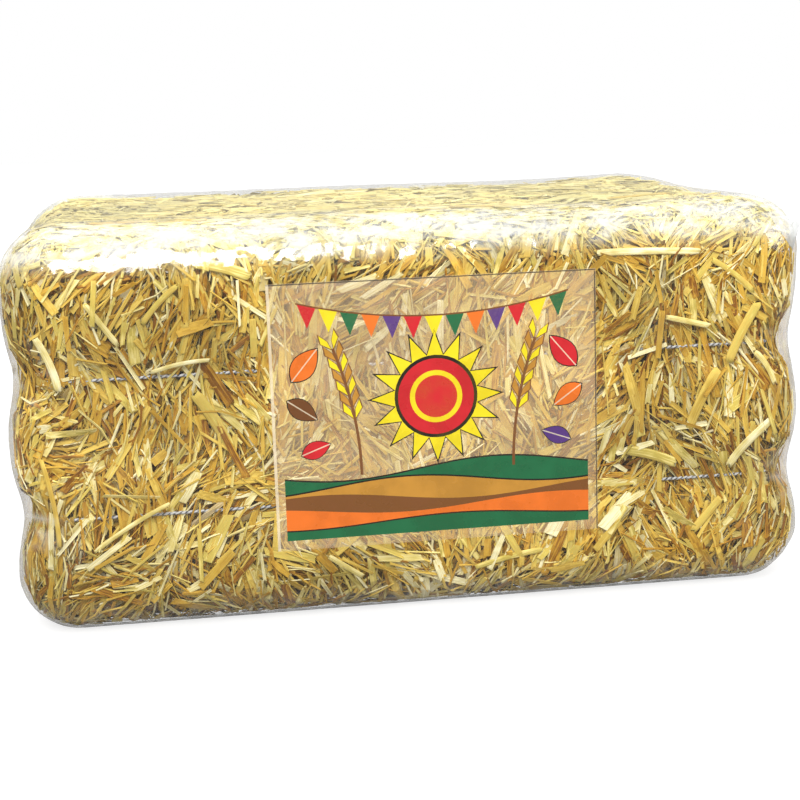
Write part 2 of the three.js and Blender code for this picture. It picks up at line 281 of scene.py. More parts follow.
def set_values(mesh: bpy.types.Mesh, name: str, values: Points) -> None:
    """Stores a number for each vertex of a mesh, which its material reads by name."""
    layer = mesh.attributes.new(name, "FLOAT", "POINT")
    layer.data.foreach_set("value", np.asarray(values, dtype=np.float32))


def fix_normals(made: bpy.types.Object) -> None:
    """Turns a closed mesh's faces outwards.

    Args:
        made: the object.
    """
    work = bmesh.new()
    work.from_mesh(made.data)
    bmesh.ops.recalc_face_normals(work, faces=work.faces)
    work.to_mesh(made.data)
    work.free()


def let_light_through(made: bpy.types.Object) -> None:
    """Keeps a thin clear sheet from shading the straw behind it."""
    made.visible_shadow = False
    made.visible_diffuse = False


def tube_faces(rings: int, sides: int, closed: bool = False) -> list[list[int]]:
    """Faces of a tube whose vertices are rings of equal length, with flat ends if it is open.

    Args:
        rings: how many rings there are.
        sides: how many vertices a ring has.
        closed: whether the last ring joins the first.
    Returns:
        The faces, facing outwards where each ring turns anticlockwise seen from the last ring.
    """
    faces = []
    for i in range(rings if closed else rings - 1):
        here, onward = i * sides, ((i + 1) % rings) * sides
        for j in range(sides):
            k = (j + 1) % sides
            faces.append([here + j, here + k, onward + k, onward + j])
    if not closed:
        faces.append(list(range(sides))[::-1])
        faces.append([(rings - 1) * sides + j for j in range(sides)])
    return faces


def join_faces(points: Sequence[Points], faces: Sequence[list[list[int]]]) -> list[list[int]]:
    """The faces of several meshes whose vertices are put in one row.

    Args:
        points: the vertices of each mesh.
        faces: the faces of each mesh.
    Returns:
        All the faces, counted along that row.
    """
    joined, count = [], 0
    for own_points, own_faces in zip(points, faces):
        joined += [[count + i for i in face] for face in own_faces]
        count += len(own_points)
    return joined


class Graph:
    """Adds nodes to a node tree and joins them."""

    def __init__(self, tree: bpy.types.NodeTree) -> None:
        """Starts on a tree."""
        self.tree = tree

    def feed(self, socket: bpy.types.NodeSocket, value: object) -> None:
        """Links a socket to another, or sets its value.

        Args:
            socket: the input.
            value: another node's output, or a value.
        """
        if isinstance(value, bpy.types.NodeSocket):
            self.tree.links.new(value, socket)
        else:
            socket.default_value = value

    def add(self, kind: str, inputs: dict[int | str, object] | None = None,
            **settings: object) -> bpy.types.Node:
        """Adds a node.

        Args:
            kind: the node's type.
            inputs: its sockets, by place or name, with a value or a socket for each.
            settings: the node's own properties.
        Returns:
            The node.
        """
        node = self.tree.nodes.new(kind)
        for key, value in settings.items():
            setattr(node, key, value)
        for key, value in (inputs or {}).items():
            self.feed(node.inputs[key], value)
        return node

    def math(self, operation: str, first: object, second: object = 0.0,
             clamp: bool = False) -> bpy.types.NodeSocket:
        """The result of a math node in a shader or geometry tree."""
        node = self.add("ShaderNodeMath", {0: first, 1: second}, operation=operation, use_clamp=clamp)
        return node.outputs[0]

    def map_range(self, value: object, low: float, high: float, out_low: float = 0.0,
                  out_high: float = 1.0) -> bpy.types.NodeSocket:
        """A value moved smoothly from one range to another."""
        node = self.add("ShaderNodeMapRange", {0: value, 1: low, 2: high, 3: out_low, 4: out_high},
                        interpolation_type="SMOOTHSTEP")
        return node.outputs[0]

    def noise(self, vector: object, scale: float, detail: float = 2.0, roughness: float = 0.5,
              kind: str = "FBM") -> bpy.types.NodeSocket:
        """The value of a noise texture, from 0 to 1."""
        node = self.add("ShaderNodeTexNoise", {"Vector": vector, "Scale": scale, "Detail": detail,
                                               "Roughness": roughness}, noise_type=kind)
        return node.outputs[0]

    def stretch(self, vector: object, scale: Sequence[float]) -> bpy.types.NodeSocket:
        """Coordinates scaled along each axis."""
        node = self.add("ShaderNodeMapping", {"Vector": vector, "Scale": scale})
        return node.outputs[0]

    def place(self) -> bpy.types.NodeSocket:
        """Where a point is on its object."""
        return self.add("ShaderNodeTexCoord").outputs["Object"]

    def flat_place(self) -> bpy.types.NodeSocket:
        """Where a point is on its piece's UV map."""
        return self.add("ShaderNodeUVMap", uv_map=UV_LAYER).outputs[0]

    def stored(self, name: str) -> bpy.types.NodeSocket:
        """The number that a mesh stores under a name."""
        return self.add("ShaderNodeAttribute", attribute_name=name).outputs["Fac"]

    def ramp(self, value: object, stops: Sequence[tuple[float, Colour]]) -> bpy.types.NodeSocket:
        """A colour from a row of stops.

        Args:
            value: the place on the row, from 0 to 1.
            stops: the place and the colour of each stop.
        Returns:
            The colour.
        """
        node = self.add("ShaderNodeValToRGB", {0: value})
        elements = node.color_ramp.elements
        while len(elements) < len(stops):
            elements.new(1.0)
        for element, (place, colour) in zip(elements, stops):
            element.position = place
            element.color = (*colour, 1)
        return node.outputs[0]

    def mix(self, share: object, first: object, second: object) -> bpy.types.NodeSocket:
        """A mix of two colours.

        Args:
            share: how much of the second there is, from 0 to 1.
            first: a colour or its socket.
            second: a colour or its socket.
        Returns:
            The colour.
        """
        node = self.add("ShaderNodeMix", {"Factor": share}, data_type="RGBA")
        for number, value in ((6, first), (7, second)):
            self.feed(node.inputs[number], (*value, 1) if isinstance(value, tuple) else value)
        return node.outputs[2]

    def bump(self, height: object, distance: float, strength: float = 1.0) -> bpy.types.NodeSocket:
        """A normal bumped by a height."""
        node = self.add("ShaderNodeBump", {"Height": height, "Distance": distance,
                                           "Strength": strength})
        return node.outputs[0]

    def group(self, tree: bpy.types.NodeTree, inputs: dict[str, object]) -> bpy.types.NodeOutputs:
        """The outputs of a node group with its own values."""
        return self.add("ShaderNodeGroup", inputs, node_tree=tree).outputs


def new_material(name: str) -> tuple[bpy.types.Material, Graph, bpy.types.Node]:
    """A new material with a Principled shader.

    Args:
        name: the material's name.
    Returns:
        The material, its graph and that shader.
    """
    material = bpy.data.materials.new(name)
    material.use_nodes = True
    shader = material.node_tree.nodes["Principled BSDF"]
    return material, Graph(material.node_tree), shader


# Effects that several finishes share

def shader_group(name: str, inputs: dict[str, str], outputs: Sequence[str],
                 ) -> tuple[bpy.types.NodeTree, Graph, bpy.types.NodeOutputs]:
    """A new node group for materials.

    Args:
        name: the group's name.
        inputs: the name of each input, with Vector or Float for its kind.
        outputs: the names of its outputs, which are numbers.
    Returns:
        The group, its graph and the sockets that its inputs come from.
    """
    tree = bpy.data.node_groups.new(name, "ShaderNodeTree")
    for key, kind in inputs.items():
        tree.interface.new_socket(key, in_out="INPUT", socket_type=f"NodeSocket{kind}")
    for key in outputs:
        tree.interface.new_socket(key, in_out="OUTPUT", socket_type="NodeSocketFloat")
    graph = Graph(tree)
    return tree, graph, graph.add("NodeGroupInput").outputs


def fibre_group() -> bpy.types.NodeTree:
    """The lengthwise fibres of straw and twine: a streaky tone and a height, along a UV map.

    Returns:
        The group, with inputs UV, Shift, Fineness and outputs Tone, Height.
    """
    name = "lengthwise_fibres"
    if name in bpy.data.node_groups:
        return bpy.data.node_groups[name]
    tree, graph, inside = shader_group(
        name, {"UV": "Vector", "Shift": "Float", "Fineness": "Float"}, ("Tone", "Height"))
    moved = graph.add("ShaderNodeVectorMath", {0: inside["UV"]}, operation="ADD")
    offset = graph.add("ShaderNodeCombineXYZ", {0: graph.math("MULTIPLY", inside["Shift"], 37.0),
                                                1: graph.math("MULTIPLY", inside["Shift"], 11.0)})
    graph.feed(moved.inputs[1], offset.outputs[0])
    scaled = graph.add("ShaderNodeVectorMath", {0: moved.outputs[0]}, operation="SCALE")
    graph.feed(scaled.inputs["Scale"], inside["Fineness"])
    streaks = graph.noise(graph.stretch(scaled.outputs[0], (0.045, 1.0, 1.0)), 1.0, 3.0, 0.65)
    patches = graph.noise(graph.stretch(scaled.outputs[0], (0.12, 0.2, 1.0)), 0.9, 1.0, 0.5)
    tone = graph.math("ADD", graph.math("MULTIPLY", streaks, 0.65),
                      graph.math("MULTIPLY", patches, 0.35))
    graph.add("NodeGroupOutput", {"Tone": tone, "Height": streaks})
    return tree


def crinkle_group() -> bpy.types.NodeTree:
    """The creases of thin tight plastic: a height and a mask of its milky creases, over a solid.

    Returns:
        The group, with inputs Place, Size and outputs Height, Crease.
    """
    name = "plastic_crinkle"
    if name in bpy.data.node_groups:
        return bpy.data.node_groups[name]
    tree, graph, inside = shader_group(name, {"Place": "Vector", "Size": "Float"}, ("Height", "Crease"))
    place = graph.add("ShaderNodeVectorMath", {0: inside["Place"]}, operation="DIVIDE")
    size = graph.add("ShaderNodeCombineXYZ", {axis: inside["Size"] for axis in range(3)})
    graph.feed(place.inputs[1], size.outputs[0])
    ridges = graph.noise(place.outputs[0], 1.0, 3.0, 0.55, "RIDGED_MULTIFRACTAL")
    soft = graph.noise(place.outputs[0], 0.45, 2.0, 0.5)
    height = graph.math("ADD", graph.math("MULTIPLY", ridges, 0.35), soft)
    crease = graph.map_range(ridges, 0.55, 1.3)
    graph.add("NodeGroupOutput", {"Height": height, "Crease": crease})
    return tree


# Finishes

@dataclass(frozen=True)
class StrawFinish:
    """Dry chopped straw: many tones from cream to brown, with lengthwise fibres.

    Straw that faces up is painted paler, as painted light on the top, straw that lies deeper is painted
    browner, as painted shade between the pieces, and both vary in patches.
    """

    name: str = "chopped_straw"
    tones: tuple[tuple[float, str], ...] = (
        (0.00, "#84520f"), (0.05, "#a6721d"), (0.12, "#c0902b"), (0.24, "#cda136"),
        (0.43, "#d7b248"), (0.58, "#dfc05c"), (0.68, "#c9b452"), (0.77, "#e1cb72"),
        (0.88, "#e9d890"), (1.00, "#f3e9ba"))
    fibre_range: tuple[float, float] = (0.34, 0.66)
    fibre_shift: float = 0.14
    fibre_shade: tuple[float, float] = (0.8, 1.08)
    fibre_depth: float = 0.25 * MM
    patch_scale: float = 17.0
    patch_range: tuple[float, float] = (0.36, 0.64)
    patch_shade: tuple[float, float] = (0.82, 1.16)
    # Painted shade: deeper pieces are painted towards this dark brown, at most by this share.
    painted_shade_tone: str = "#80500c"
    painted_shade_most: float = 0.56
    # Painted light: straw that faces up is painted towards this pale tone, by this share.
    painted_light_tone: str = "#e3da90"
    painted_light_share: float = 0.7
    rough: float = 0.6

    def material(self) -> bpy.types.Material:
        """Builds the material, which reads the tone, depth and upward turn that each straw carries.

        Returns:
            The material.
        """
        material, graph, shader = new_material(self.name)
        tone, deep, upward = map(graph.stored, ("tone", "deep", "upward"))
        fibres = graph.group(fibre_group(), {"UV": graph.flat_place(), "Shift": tone, "Fineness": 1.0})
        shift = graph.map_range(fibres["Tone"], *self.fibre_range, -self.fibre_shift, self.fibre_shift)
        colour = graph.ramp(graph.math("ADD", tone, shift),
                            [(stop, srgb(code)) for stop, code in self.tones])
        # Painted shade: the deeper a piece lies, the more it is mixed towards dark brown.
        sunk = graph.mix(graph.map_range(deep, 0.1, 0.95, 0.0, self.painted_shade_most), colour,
                         srgb(self.painted_shade_tone))
        # Painted light: the more straw faces up, the more it is mixed towards a pale tone.
        painted_top_light = graph.mix(graph.math("MULTIPLY", upward, self.painted_light_share), sunk, srgb(self.painted_light_tone))
        streak = graph.map_range(fibres["Tone"], *self.fibre_range, *self.fibre_shade)
        patch = graph.map_range(graph.noise(graph.place(), self.patch_scale), *self.patch_range,
                                *self.patch_shade)
        shaded = graph.add("ShaderNodeVectorMath", {0: painted_top_light}, operation="SCALE")
        graph.feed(shaded.inputs["Scale"], graph.math("MULTIPLY", streak, patch))
        graph.feed(shader.inputs["Base Color"], shaded.outputs[0])
        graph.feed(shader.inputs["Roughness"],
                   graph.map_range(fibres["Tone"], 0.3, 0.7, self.rough - 0.12, self.rough + 0.1))
        graph.feed(shader.inputs["Normal"], graph.bump(fibres["Height"], self.fibre_depth, 0.8))
        shader.inputs["Specular IOR Level"].default_value = 0.3
        shader.inputs["Specular Tint"].default_value = (1.0, 0.86, 0.5, 1)
        return material


@dataclass(frozen=True)
class CoreFinish:
    """The straw far inside the bale, painted dark as shade: a dark tangle seen between the pieces on
    top.
    """

    name: str = "deep_straw"
    dark: str = "#4a2c0a"
    light: str = "#a87422"
    rough: float = 0.85
    swirl_scale: float = 40.0
    swirl_reach: float = 20 * MM
    strand_scale: tuple[float, float, float] = (900.0, 700.0, 160.0)
    strand_depth: float = 1.0 * MM

    def material(self) -> bpy.types.Material:
        """Builds the material.

        Returns:
            The material.
        """
        material, graph, shader = new_material(self.name)
        place = graph.place()
        swirl = graph.add("ShaderNodeTexNoise",
                          {"Vector": place, "Scale": self.swirl_scale, "Detail": 1.0})
        bent = graph.add("ShaderNodeVectorMath", {0: place}, operation="ADD")
        push = graph.add("ShaderNodeVectorMath", {0: swirl.outputs[1]}, operation="SCALE")
        push.inputs["Scale"].default_value = self.swirl_reach
        graph.feed(bent.inputs[1], push.outputs[0])
        tangle = graph.noise(graph.stretch(bent.outputs[0], self.strand_scale), 1.0, 3.0, 0.6)
        # Painted shade: the tangle runs from dark brown to mid brown.
        colour = graph.ramp(tangle, [(0.35, srgb(self.dark)), (0.65, srgb(self.light))])
        graph.feed(shader.inputs["Base Color"], colour)
        graph.feed(shader.inputs["Normal"], graph.bump(tangle, self.strand_depth))
        shader.inputs["Roughness"].default_value = self.rough
        return material


@dataclass(frozen=True)
class TwineFinish:
    """Thin two-ply twine: grey-white, with dark flecks, painted denser in the grooves between its plies
    as painted shade.
    """

    name: str = "grey_twine"
    light: str = "#e4e2dc"
    shade: str = "#8f8f92"
    fleck: str = "#2f3038"
    fineness: float = 4.0
    fleck_scale: float = 1.3
    fibre_depth: float = 0.1 * MM
    rough: float = 0.5

    def material(self) -> bpy.types.Material:
        """Builds the material, which reads a UV map of millimetres along and angles round the twine.

        Returns:
            The material.
        """
        material, graph, shader = new_material(self.name)
        uv = graph.flat_place()
        fibres = graph.group(fibre_group(), {"UV": uv, "Shift": 0.3, "Fineness": self.fineness})
        flecks = graph.noise(graph.stretch(uv, (0.5, 1.0, 1.0)), self.fleck_scale, 2.0, 0.7)
        # Partly real flecks, partly painted shade: the flecks are weighted heavier in the grooves
        # between the plies.
        fleck_and_groove_shade = graph.math("ADD", graph.stored("groove"), 0.55)
        flecked = graph.map_range(graph.math("MULTIPLY", flecks, fleck_and_groove_shade), 0.42, 0.62)
        base = graph.mix(fibres["Tone"], srgb(self.shade), srgb(self.light))
        graph.feed(shader.inputs["Base Color"], graph.mix(flecked, base, srgb(self.fleck)))
        graph.feed(shader.inputs["Normal"], graph.bump(fibres["Height"], self.fibre_depth))
        shader.inputs["Roughness"].default_value = self.rough
        return material


@dataclass(frozen=True)
class FilmFinish:
    """Clear glossy shrink film, milky where it is gathered: low down, at the ends and in its ears, with
    a painted highlight along the top's front edge.
    """

    name: str = "shrink_film"
    colour: tuple[float, float, float, float] = (0.95, 0.96, 0.94, 1)
    clear: float = 0.02
    gloss: float = 0.42
    crease: float = 0.07
    veil: float = 0.04
    low_haze: float = 0.6
    low_band: float = 26 * MM
    end_haze: float = 0.5
    end_band: float = 14 * MM
    gathered_haze: float = 0.5
    # How much the painted highlight along the top's front edge adds, at its least and most.
    glare: tuple[float, float] = (0.06, 0.46)
    crinkle: float = 7 * MM
    crinkle_depth: float = 2.4 * MM

    def material(self, form: BaleForm) -> bpy.types.Material:
        """Builds the material.

        Args:
            form: the bale's form, which places the milky bands.
        Returns:
            The material.
        """
        material, graph, shader = new_material(self.name)
        place = graph.place()
        axes = graph.add("ShaderNodeSeparateXYZ", {0: place}).outputs
        folded, painted_glare_mask = map(graph.stored, ("haze", "glare"))
        crinkle = graph.group(crinkle_group(), {"Place": place, "Size": self.crinkle})
        patches = graph.noise(place, 28.0, 3.0, 0.6)
        streaks = graph.noise(graph.stretch(place, (160.0, 160.0, 22.0)), 1.0, 2.0, 0.6)
        blots = graph.noise(graph.stretch(place, (70.0, 110.0, 110.0)), 1.0, 3.0, 0.7)
        low = graph.map_range(axes["Z"], self.low_band, 0.0, 0.0, self.low_haze)
        end = graph.map_range(graph.math("ABSOLUTE", axes["X"]), form.half[0] - self.end_band,
                              form.half[0], 0.0, self.end_haze)
        streaky = graph.map_range(streaks, 0.3, 0.7, 0.25 * self.gathered_haze, self.gathered_haze)
        gathered = graph.math("MULTIPLY", graph.math("MAXIMUM", low, end), streaky)
        # Painted highlight: blotchy white along the top's front edge.
        painted_glare_share = graph.math("MULTIPLY", painted_glare_mask, graph.map_range(blots, 0.3, 0.66, *self.glare))
        creased = graph.math("MULTIPLY", crinkle["Crease"], self.crease)
        veil = graph.map_range(patches, 0.5, 0.75, 0.0, self.veil)
        # From here haze sums the film's milky haze and the painted highlight.
        haze = creased
        for share in (veil, gathered, folded, painted_glare_share):
            haze = graph.math("ADD", haze, share)
        bumped = graph.bump(crinkle["Height"], self.crinkle_depth, 0.7)
        glance = graph.add("ShaderNodeFresnel", {"IOR": 1.5, "Normal": bumped}).outputs[0]
        shine = graph.math("ADD", graph.math("MULTIPLY", glance, self.gloss), self.clear)
        graph.feed(shader.inputs["Alpha"], graph.math("ADD", haze, shine, clamp=True))
        graph.feed(shader.inputs["Metallic"], graph.map_range(haze, 0.05, 0.35, 0.75, 0.1))
        graph.feed(shader.inputs["Roughness"], graph.map_range(haze, 0.0, 0.6, 0.09, 0.38))
        graph.feed(shader.inputs["Normal"], bumped)
        shader.inputs["Base Color"].default_value = self.colour
        return material


class Ink(Enum):
    """The printed colours of the label, with how much of the straw each one lets through."""

    VEIL = ("#e4c8a2", 0.2)
    PALE = ("#f3e3c2", 0.7)
    EDGE = ("#4c4438", 0.85)
    RED = ("#d2232a", 0.97)
    YELLOW = ("#f6df1e", 0.97)
    BLACK = ("#17130f", 0.97)
    GREEN = ("#1d6b40", 0.96)
    ORANGE = ("#ee7623", 0.96)
    BROWN = ("#7a4a22", 0.94)
    GOLD = ("#c98f35", 0.94)
    PURPLE = ("#5b3a82", 0.95)


@dataclass(frozen=True)
class InkFinish:
    """One ink on the label's thin clear sheet."""

    ink: Ink
    crinkle: float = 12 * MM
    crinkle_depth: float = 0.5 * MM
    worn: float = 0.86
    uneven: float = 0.03
    rough: tuple[float, float] = (0.22, 0.36)

    def material(self) -> bpy.types.Material:
        """Builds the material.

        Returns:
            The material.
        """
        code, cover = self.ink.value
        material, graph, shader = new_material(f"label_{self.ink.name.lower()}")
        place = graph.place()
        crinkle = graph.group(crinkle_group(), {"Place": place, "Size": self.crinkle})
        cloud = graph.noise(place, 60.0, 3.0, 0.6)
        darker = tuple(self.worn * part for part in srgb(code))
        graph.feed(shader.inputs["Base Color"],
                   graph.mix(graph.map_range(cloud, 0.3, 0.7), darker, srgb(code)))
        spread = min(self.uneven, 1 - cover)
        graph.feed(shader.inputs["Alpha"],
                   graph.map_range(cloud, 0.35, 0.65, cover - spread, cover + spread))
        graph.feed(shader.inputs["Normal"], graph.bump(crinkle["Height"], self.crinkle_depth, 0.5))
        graph.feed(shader.inputs["Roughness"], graph.map_range(cloud, 0.3, 0.7, *self.rough))
        return material


# Straw pieces

class Section(Enum):
    """The cross-section of a chopped piece: points across and through it, each from -1 to 1."""

    SLIVER = ((-1.0, -0.6), (1.0, -0.6), (0.1, 1.0))
    BLADE = ((-1.0, -0.5), (1.0, -0.5), (0.9, 0.5), (-0.9, 0.5))
    STEM = ((-0.6, -0.8), (0.6, -0.8), (1.0, 0.2), (0.0, 1.0), (-1.0, 0.2))
    TROUGH = ((-0.7, -0.9), (0.7, -0.9), (1.0, 0.9), (0.45, -0.2), (-0.45, -0.2), (-1.0, 0.9))


@dataclass(frozen=True)
class StrawKind:
    """One kind of chopped piece, in millimetres."""

    section: Section
    length: tuple[float, float]
    width: tuple[float, float]
    thickness: float
    rings: int
    share: int


STRAW_KINDS = (
    StrawKind(Section.SLIVER, (3, 9), (0.6, 1.3), 0.5, 2, 5),
    StrawKind(Section.SLIVER, (9, 20), (0.5, 1.0), 0.5, 2, 7),
    StrawKind(Section.SLIVER, (14, 32), (0.8, 1.5), 0.7, 3, 8),
    StrawKind(Section.BLADE, (10, 24), (1.4, 2.6), 0.35, 2, 8),
    StrawKind(Section.STEM, (12, 30), (1.2, 1.9), 1.0, 2, 3),
    StrawKind(Section.TROUGH, (10, 24), (2.0, 3.2), 0.8, 2, 2),
    StrawKind(Section.BLADE, (12, 26), (3.0, 5.4), 0.4, 3, 5),
)


@dataclass
class StrawPieces:
    """The stock of chopped pieces that the bale's sides are laid from."""

    seed: int = 5
    most_bend: float = 0.14
    most_twist: float = 0.5
    most_taper: float = 0.35
    most_torn: float = 0.5

    def build(self) -> bpy.types.Collection:
        """Makes each piece lying along X with its flat side up.

        Returns:
            A collection of the pieces, which isn't in the scene.
        """
        random = np.random.default_rng(self.seed)
        stock = bpy.data.collections.new("straw_stock")
        number = 0
        for kind in STRAW_KINDS:
            for _ in range(kind.share):
                piece = self._piece(f"straw_{number:02d}", kind, random)
                bpy.context.scene.collection.objects.unlink(piece)
                stock.objects.link(piece)
                number += 1
        return stock

    def _piece(self, name: str, kind: StrawKind, random: np.random.Generator) -> bpy.types.Object:
        """One chopped piece with a slight bend, a twist and torn ends.

        Args:
            name: the piece's name.
            kind: what sort of piece it is.
            random: where its own sizes come from.
        Returns:
            The piece.
        """
        length = random.uniform(*kind.length) * MM
        width = random.uniform(*kind.width) * MM
        section = np.array(kind.section.value)
        bend = random.uniform(-1, 1) ** 3 * self.most_bend * length
        twist = random.uniform(-self.most_twist, self.most_twist)
        points, uv = [], []
        for i in range(kind.rings):
            at_end = i in (0, kind.rings - 1)
            share = i / (kind.rings - 1) - 0.5
            at = share * length
            taper = 1 - self.most_taper * random.random() * at_end
            turn = twist * share
            across = section[:, 0] * width / 2 * taper
            through = section[:, 1] * kind.thickness * MM / 2
            torn = random.uniform(-self.most_torn, self.most_torn, len(section)) * width * at_end
            bowed = bend * (4 * share ** 2 - 0.5)
            points.append(np.stack([
                at + torn,
                across * math.cos(turn) - through * math.sin(turn) + bowed,
                across * math.sin(turn) + through * math.cos(turn)], axis=1))
            uv.append(np.stack([np.full(len(section), at / MM), across / MM + section[:, 1]], axis=1))
        made = make_object(name, np.concatenate(points), tube_faces(kind.rings, len(section)))
        made.data.shade_flat()
        set_uv(made, np.concatenate(uv))
        return made


@dataclass
class StrawScatter:
    """A Geometry Nodes tree that strews pieces over a flat sheet, in drifts that turn slowly."""

    stock: bpy.types.Collection
    material: bpy.types.Material
    most_roll: float = 0.5
    most_pitch: float = 0.07
    lengthen: tuple[float, float] = (0.6, 1.35)
    widen: tuple[float, float] = (0.75, 1.35)

    def tree(self) -> bpy.types.NodeTree:
        """Builds the tree.

        Returns:
            The tree, whose inputs are named for what they set.
        """
        tree = bpy.data.node_groups.new("strew_straw", "GeometryNodeTree")
        sockets = tree.interface
        sockets.new_socket("Sheet", in_out="INPUT", socket_type="NodeSocketGeometry")
        for name, value in (("Density", 1.0), ("Heading", 0.0), ("Swing", 1.0), ("Spread", 0.6),
                            ("Drift Scale", 18.0), ("Depth", 0.005)):
            socket = sockets.new_socket(name, in_out="INPUT", socket_type="NodeSocketFloat")
            socket.default_value = value
        sockets.new_socket("Seed", in_out="INPUT", socket_type="NodeSocketInt")
        sockets.new_socket("Straw", in_out="OUTPUT", socket_type="NodeSocketGeometry")
        graph = Graph(tree)
        given = graph.add("NodeGroupInput").outputs

        def chance(low: object, high: object, offset: int) -> bpy.types.NodeSocket:
            """A random number for each piece.

            Args:
                low: the least it can be.
                high: the most it can be.
                offset: which draw it is; equal draws give equal numbers.
            Returns:
                The number's socket.
            """
            node = graph.add("FunctionNodeRandomValue", data_type="FLOAT")
            graph.feed(node.inputs[2], low)
            graph.feed(node.inputs[3], high)
            graph.feed(node.inputs["Seed"], graph.math("ADD", given["Seed"], float(offset)))
            return node.outputs[1]

        spots = graph.add("GeometryNodeDistributePointsOnFaces",
                          {"Mesh": given["Sheet"], "Density": given["Density"], "Seed": given["Seed"]})
        place = graph.add("GeometryNodeInputPosition").outputs[0]
        shifted = graph.add("ShaderNodeVectorMath", {0: place}, operation="ADD")
        seed_shift = graph.math("MULTIPLY", given["Seed"], 0.37)
        graph.feed(shifted.inputs[1], graph.add("ShaderNodeCombineXYZ", {2: seed_shift}).outputs[0])
        drift = graph.add("ShaderNodeTexNoise",
                          {"Vector": shifted.outputs[0], "Scale": given["Drift Scale"], "Detail": 1.0})
        turned = graph.math("MULTIPLY", graph.math("SUBTRACT", drift.outputs[0], 0.5), given["Swing"])
        stray = graph.math("MULTIPLY", chance(-1.0, 1.0, 1), chance(0.0, 1.0, 2))
        heading = graph.math("ADD", graph.math("ADD", given["Heading"], turned),
                             graph.math("MULTIPLY", stray, given["Spread"]))
        rotation = graph.add("ShaderNodeCombineXYZ", {0: chance(-self.most_roll, self.most_roll, 3),
                                                      1: chance(-self.most_pitch, self.most_pitch, 4),
                                                      2: heading})
        scale = graph.add("ShaderNodeCombineXYZ", {0: chance(*self.lengthen, 5),
                                                   1: chance(*self.widen, 6), 2: 1.0})
        stock = graph.add("GeometryNodeCollectionInfo", {"Collection": self.stock})
        graph.feed(stock.inputs["Separate Children"], True)
        pick = graph.add("FunctionNodeRandomValue", data_type="INT")
        graph.feed(pick.inputs[4], 0)
        graph.feed(pick.inputs[5], len(self.stock.objects) - 1)
        graph.feed(pick.inputs["Seed"], graph.math("ADD", given["Seed"], 7.0))
        laid = graph.add("GeometryNodeInstanceOnPoints", {
            "Points": spots.outputs["Points"], "Instance": stock.outputs[0], "Pick Instance": True,
            "Instance Index": pick.outputs[2], "Rotation": rotation.outputs[0],
            "Scale": scale.outputs[0]})
        sunk = graph.math("MULTIPLY", chance(0.0, 1.0, 8), given["Depth"])
        down = graph.add("ShaderNodeCombineXYZ", {2: graph.math("MULTIPLY", sunk, -1.0)})
        lowered = graph.add("GeometryNodeTranslateInstances", {"Instances": laid.outputs[0],
                                                               "Translation": down.outputs[0]})
        graph.feed(lowered.inputs["Local Space"], False)
        marked = lowered.outputs[0]
        # The last value repeats the draw that sinks each piece; the straw material turns it into
        # painted shade.
        for name, value in (("tone", chance(0.0, 1.0, 9)), ("lift", chance(0.0, 1.0, 10)),
                            ("deep", chance(0.0, 1.0, 8))):
            store = graph.add("GeometryNodeStoreNamedAttribute", {"Geometry": marked, "Name": name},
                              data_type="FLOAT", domain="INSTANCE")
            graph.feed(store.inputs["Value"], value)
            marked = store.outputs[0]
        real = graph.add("GeometryNodeRealizeInstances", {"Geometry": marked})
        dressed = graph.add("GeometryNodeSetMaterial", {"Geometry": real.outputs[0],
                                                        "Material": self.material})
        graph.add("NodeGroupOutput", {0: dressed.outputs[0]})
        return tree


@dataclass(frozen=True)
class SideLay:
    """How the straw lies on one side of the bale."""

    face: Face
    count: int
    heading: float
    swing: float
    spread: float
    seed: int


SIDE_LAYS = (
    SideLay(Face.FRONT, 14500, math.radians(80), 6.5, 1.2, 3),
    SideLay(Face.TOP, 14000, math.radians(10), 6.5, 1.3, 14),
    SideLay(Face.BACK, 11000, math.radians(80), 6.5, 1.2, 25),
    SideLay(Face.LEFT, 7300, math.radians(80), 6.5, 1.2, 36),
    SideLay(Face.RIGHT, 7300, math.radians(80), 6.5, 1.2, 47),
    SideLay(Face.UNDERSIDE, 7000, math.radians(0), 6.5, 1.2, 58),
)


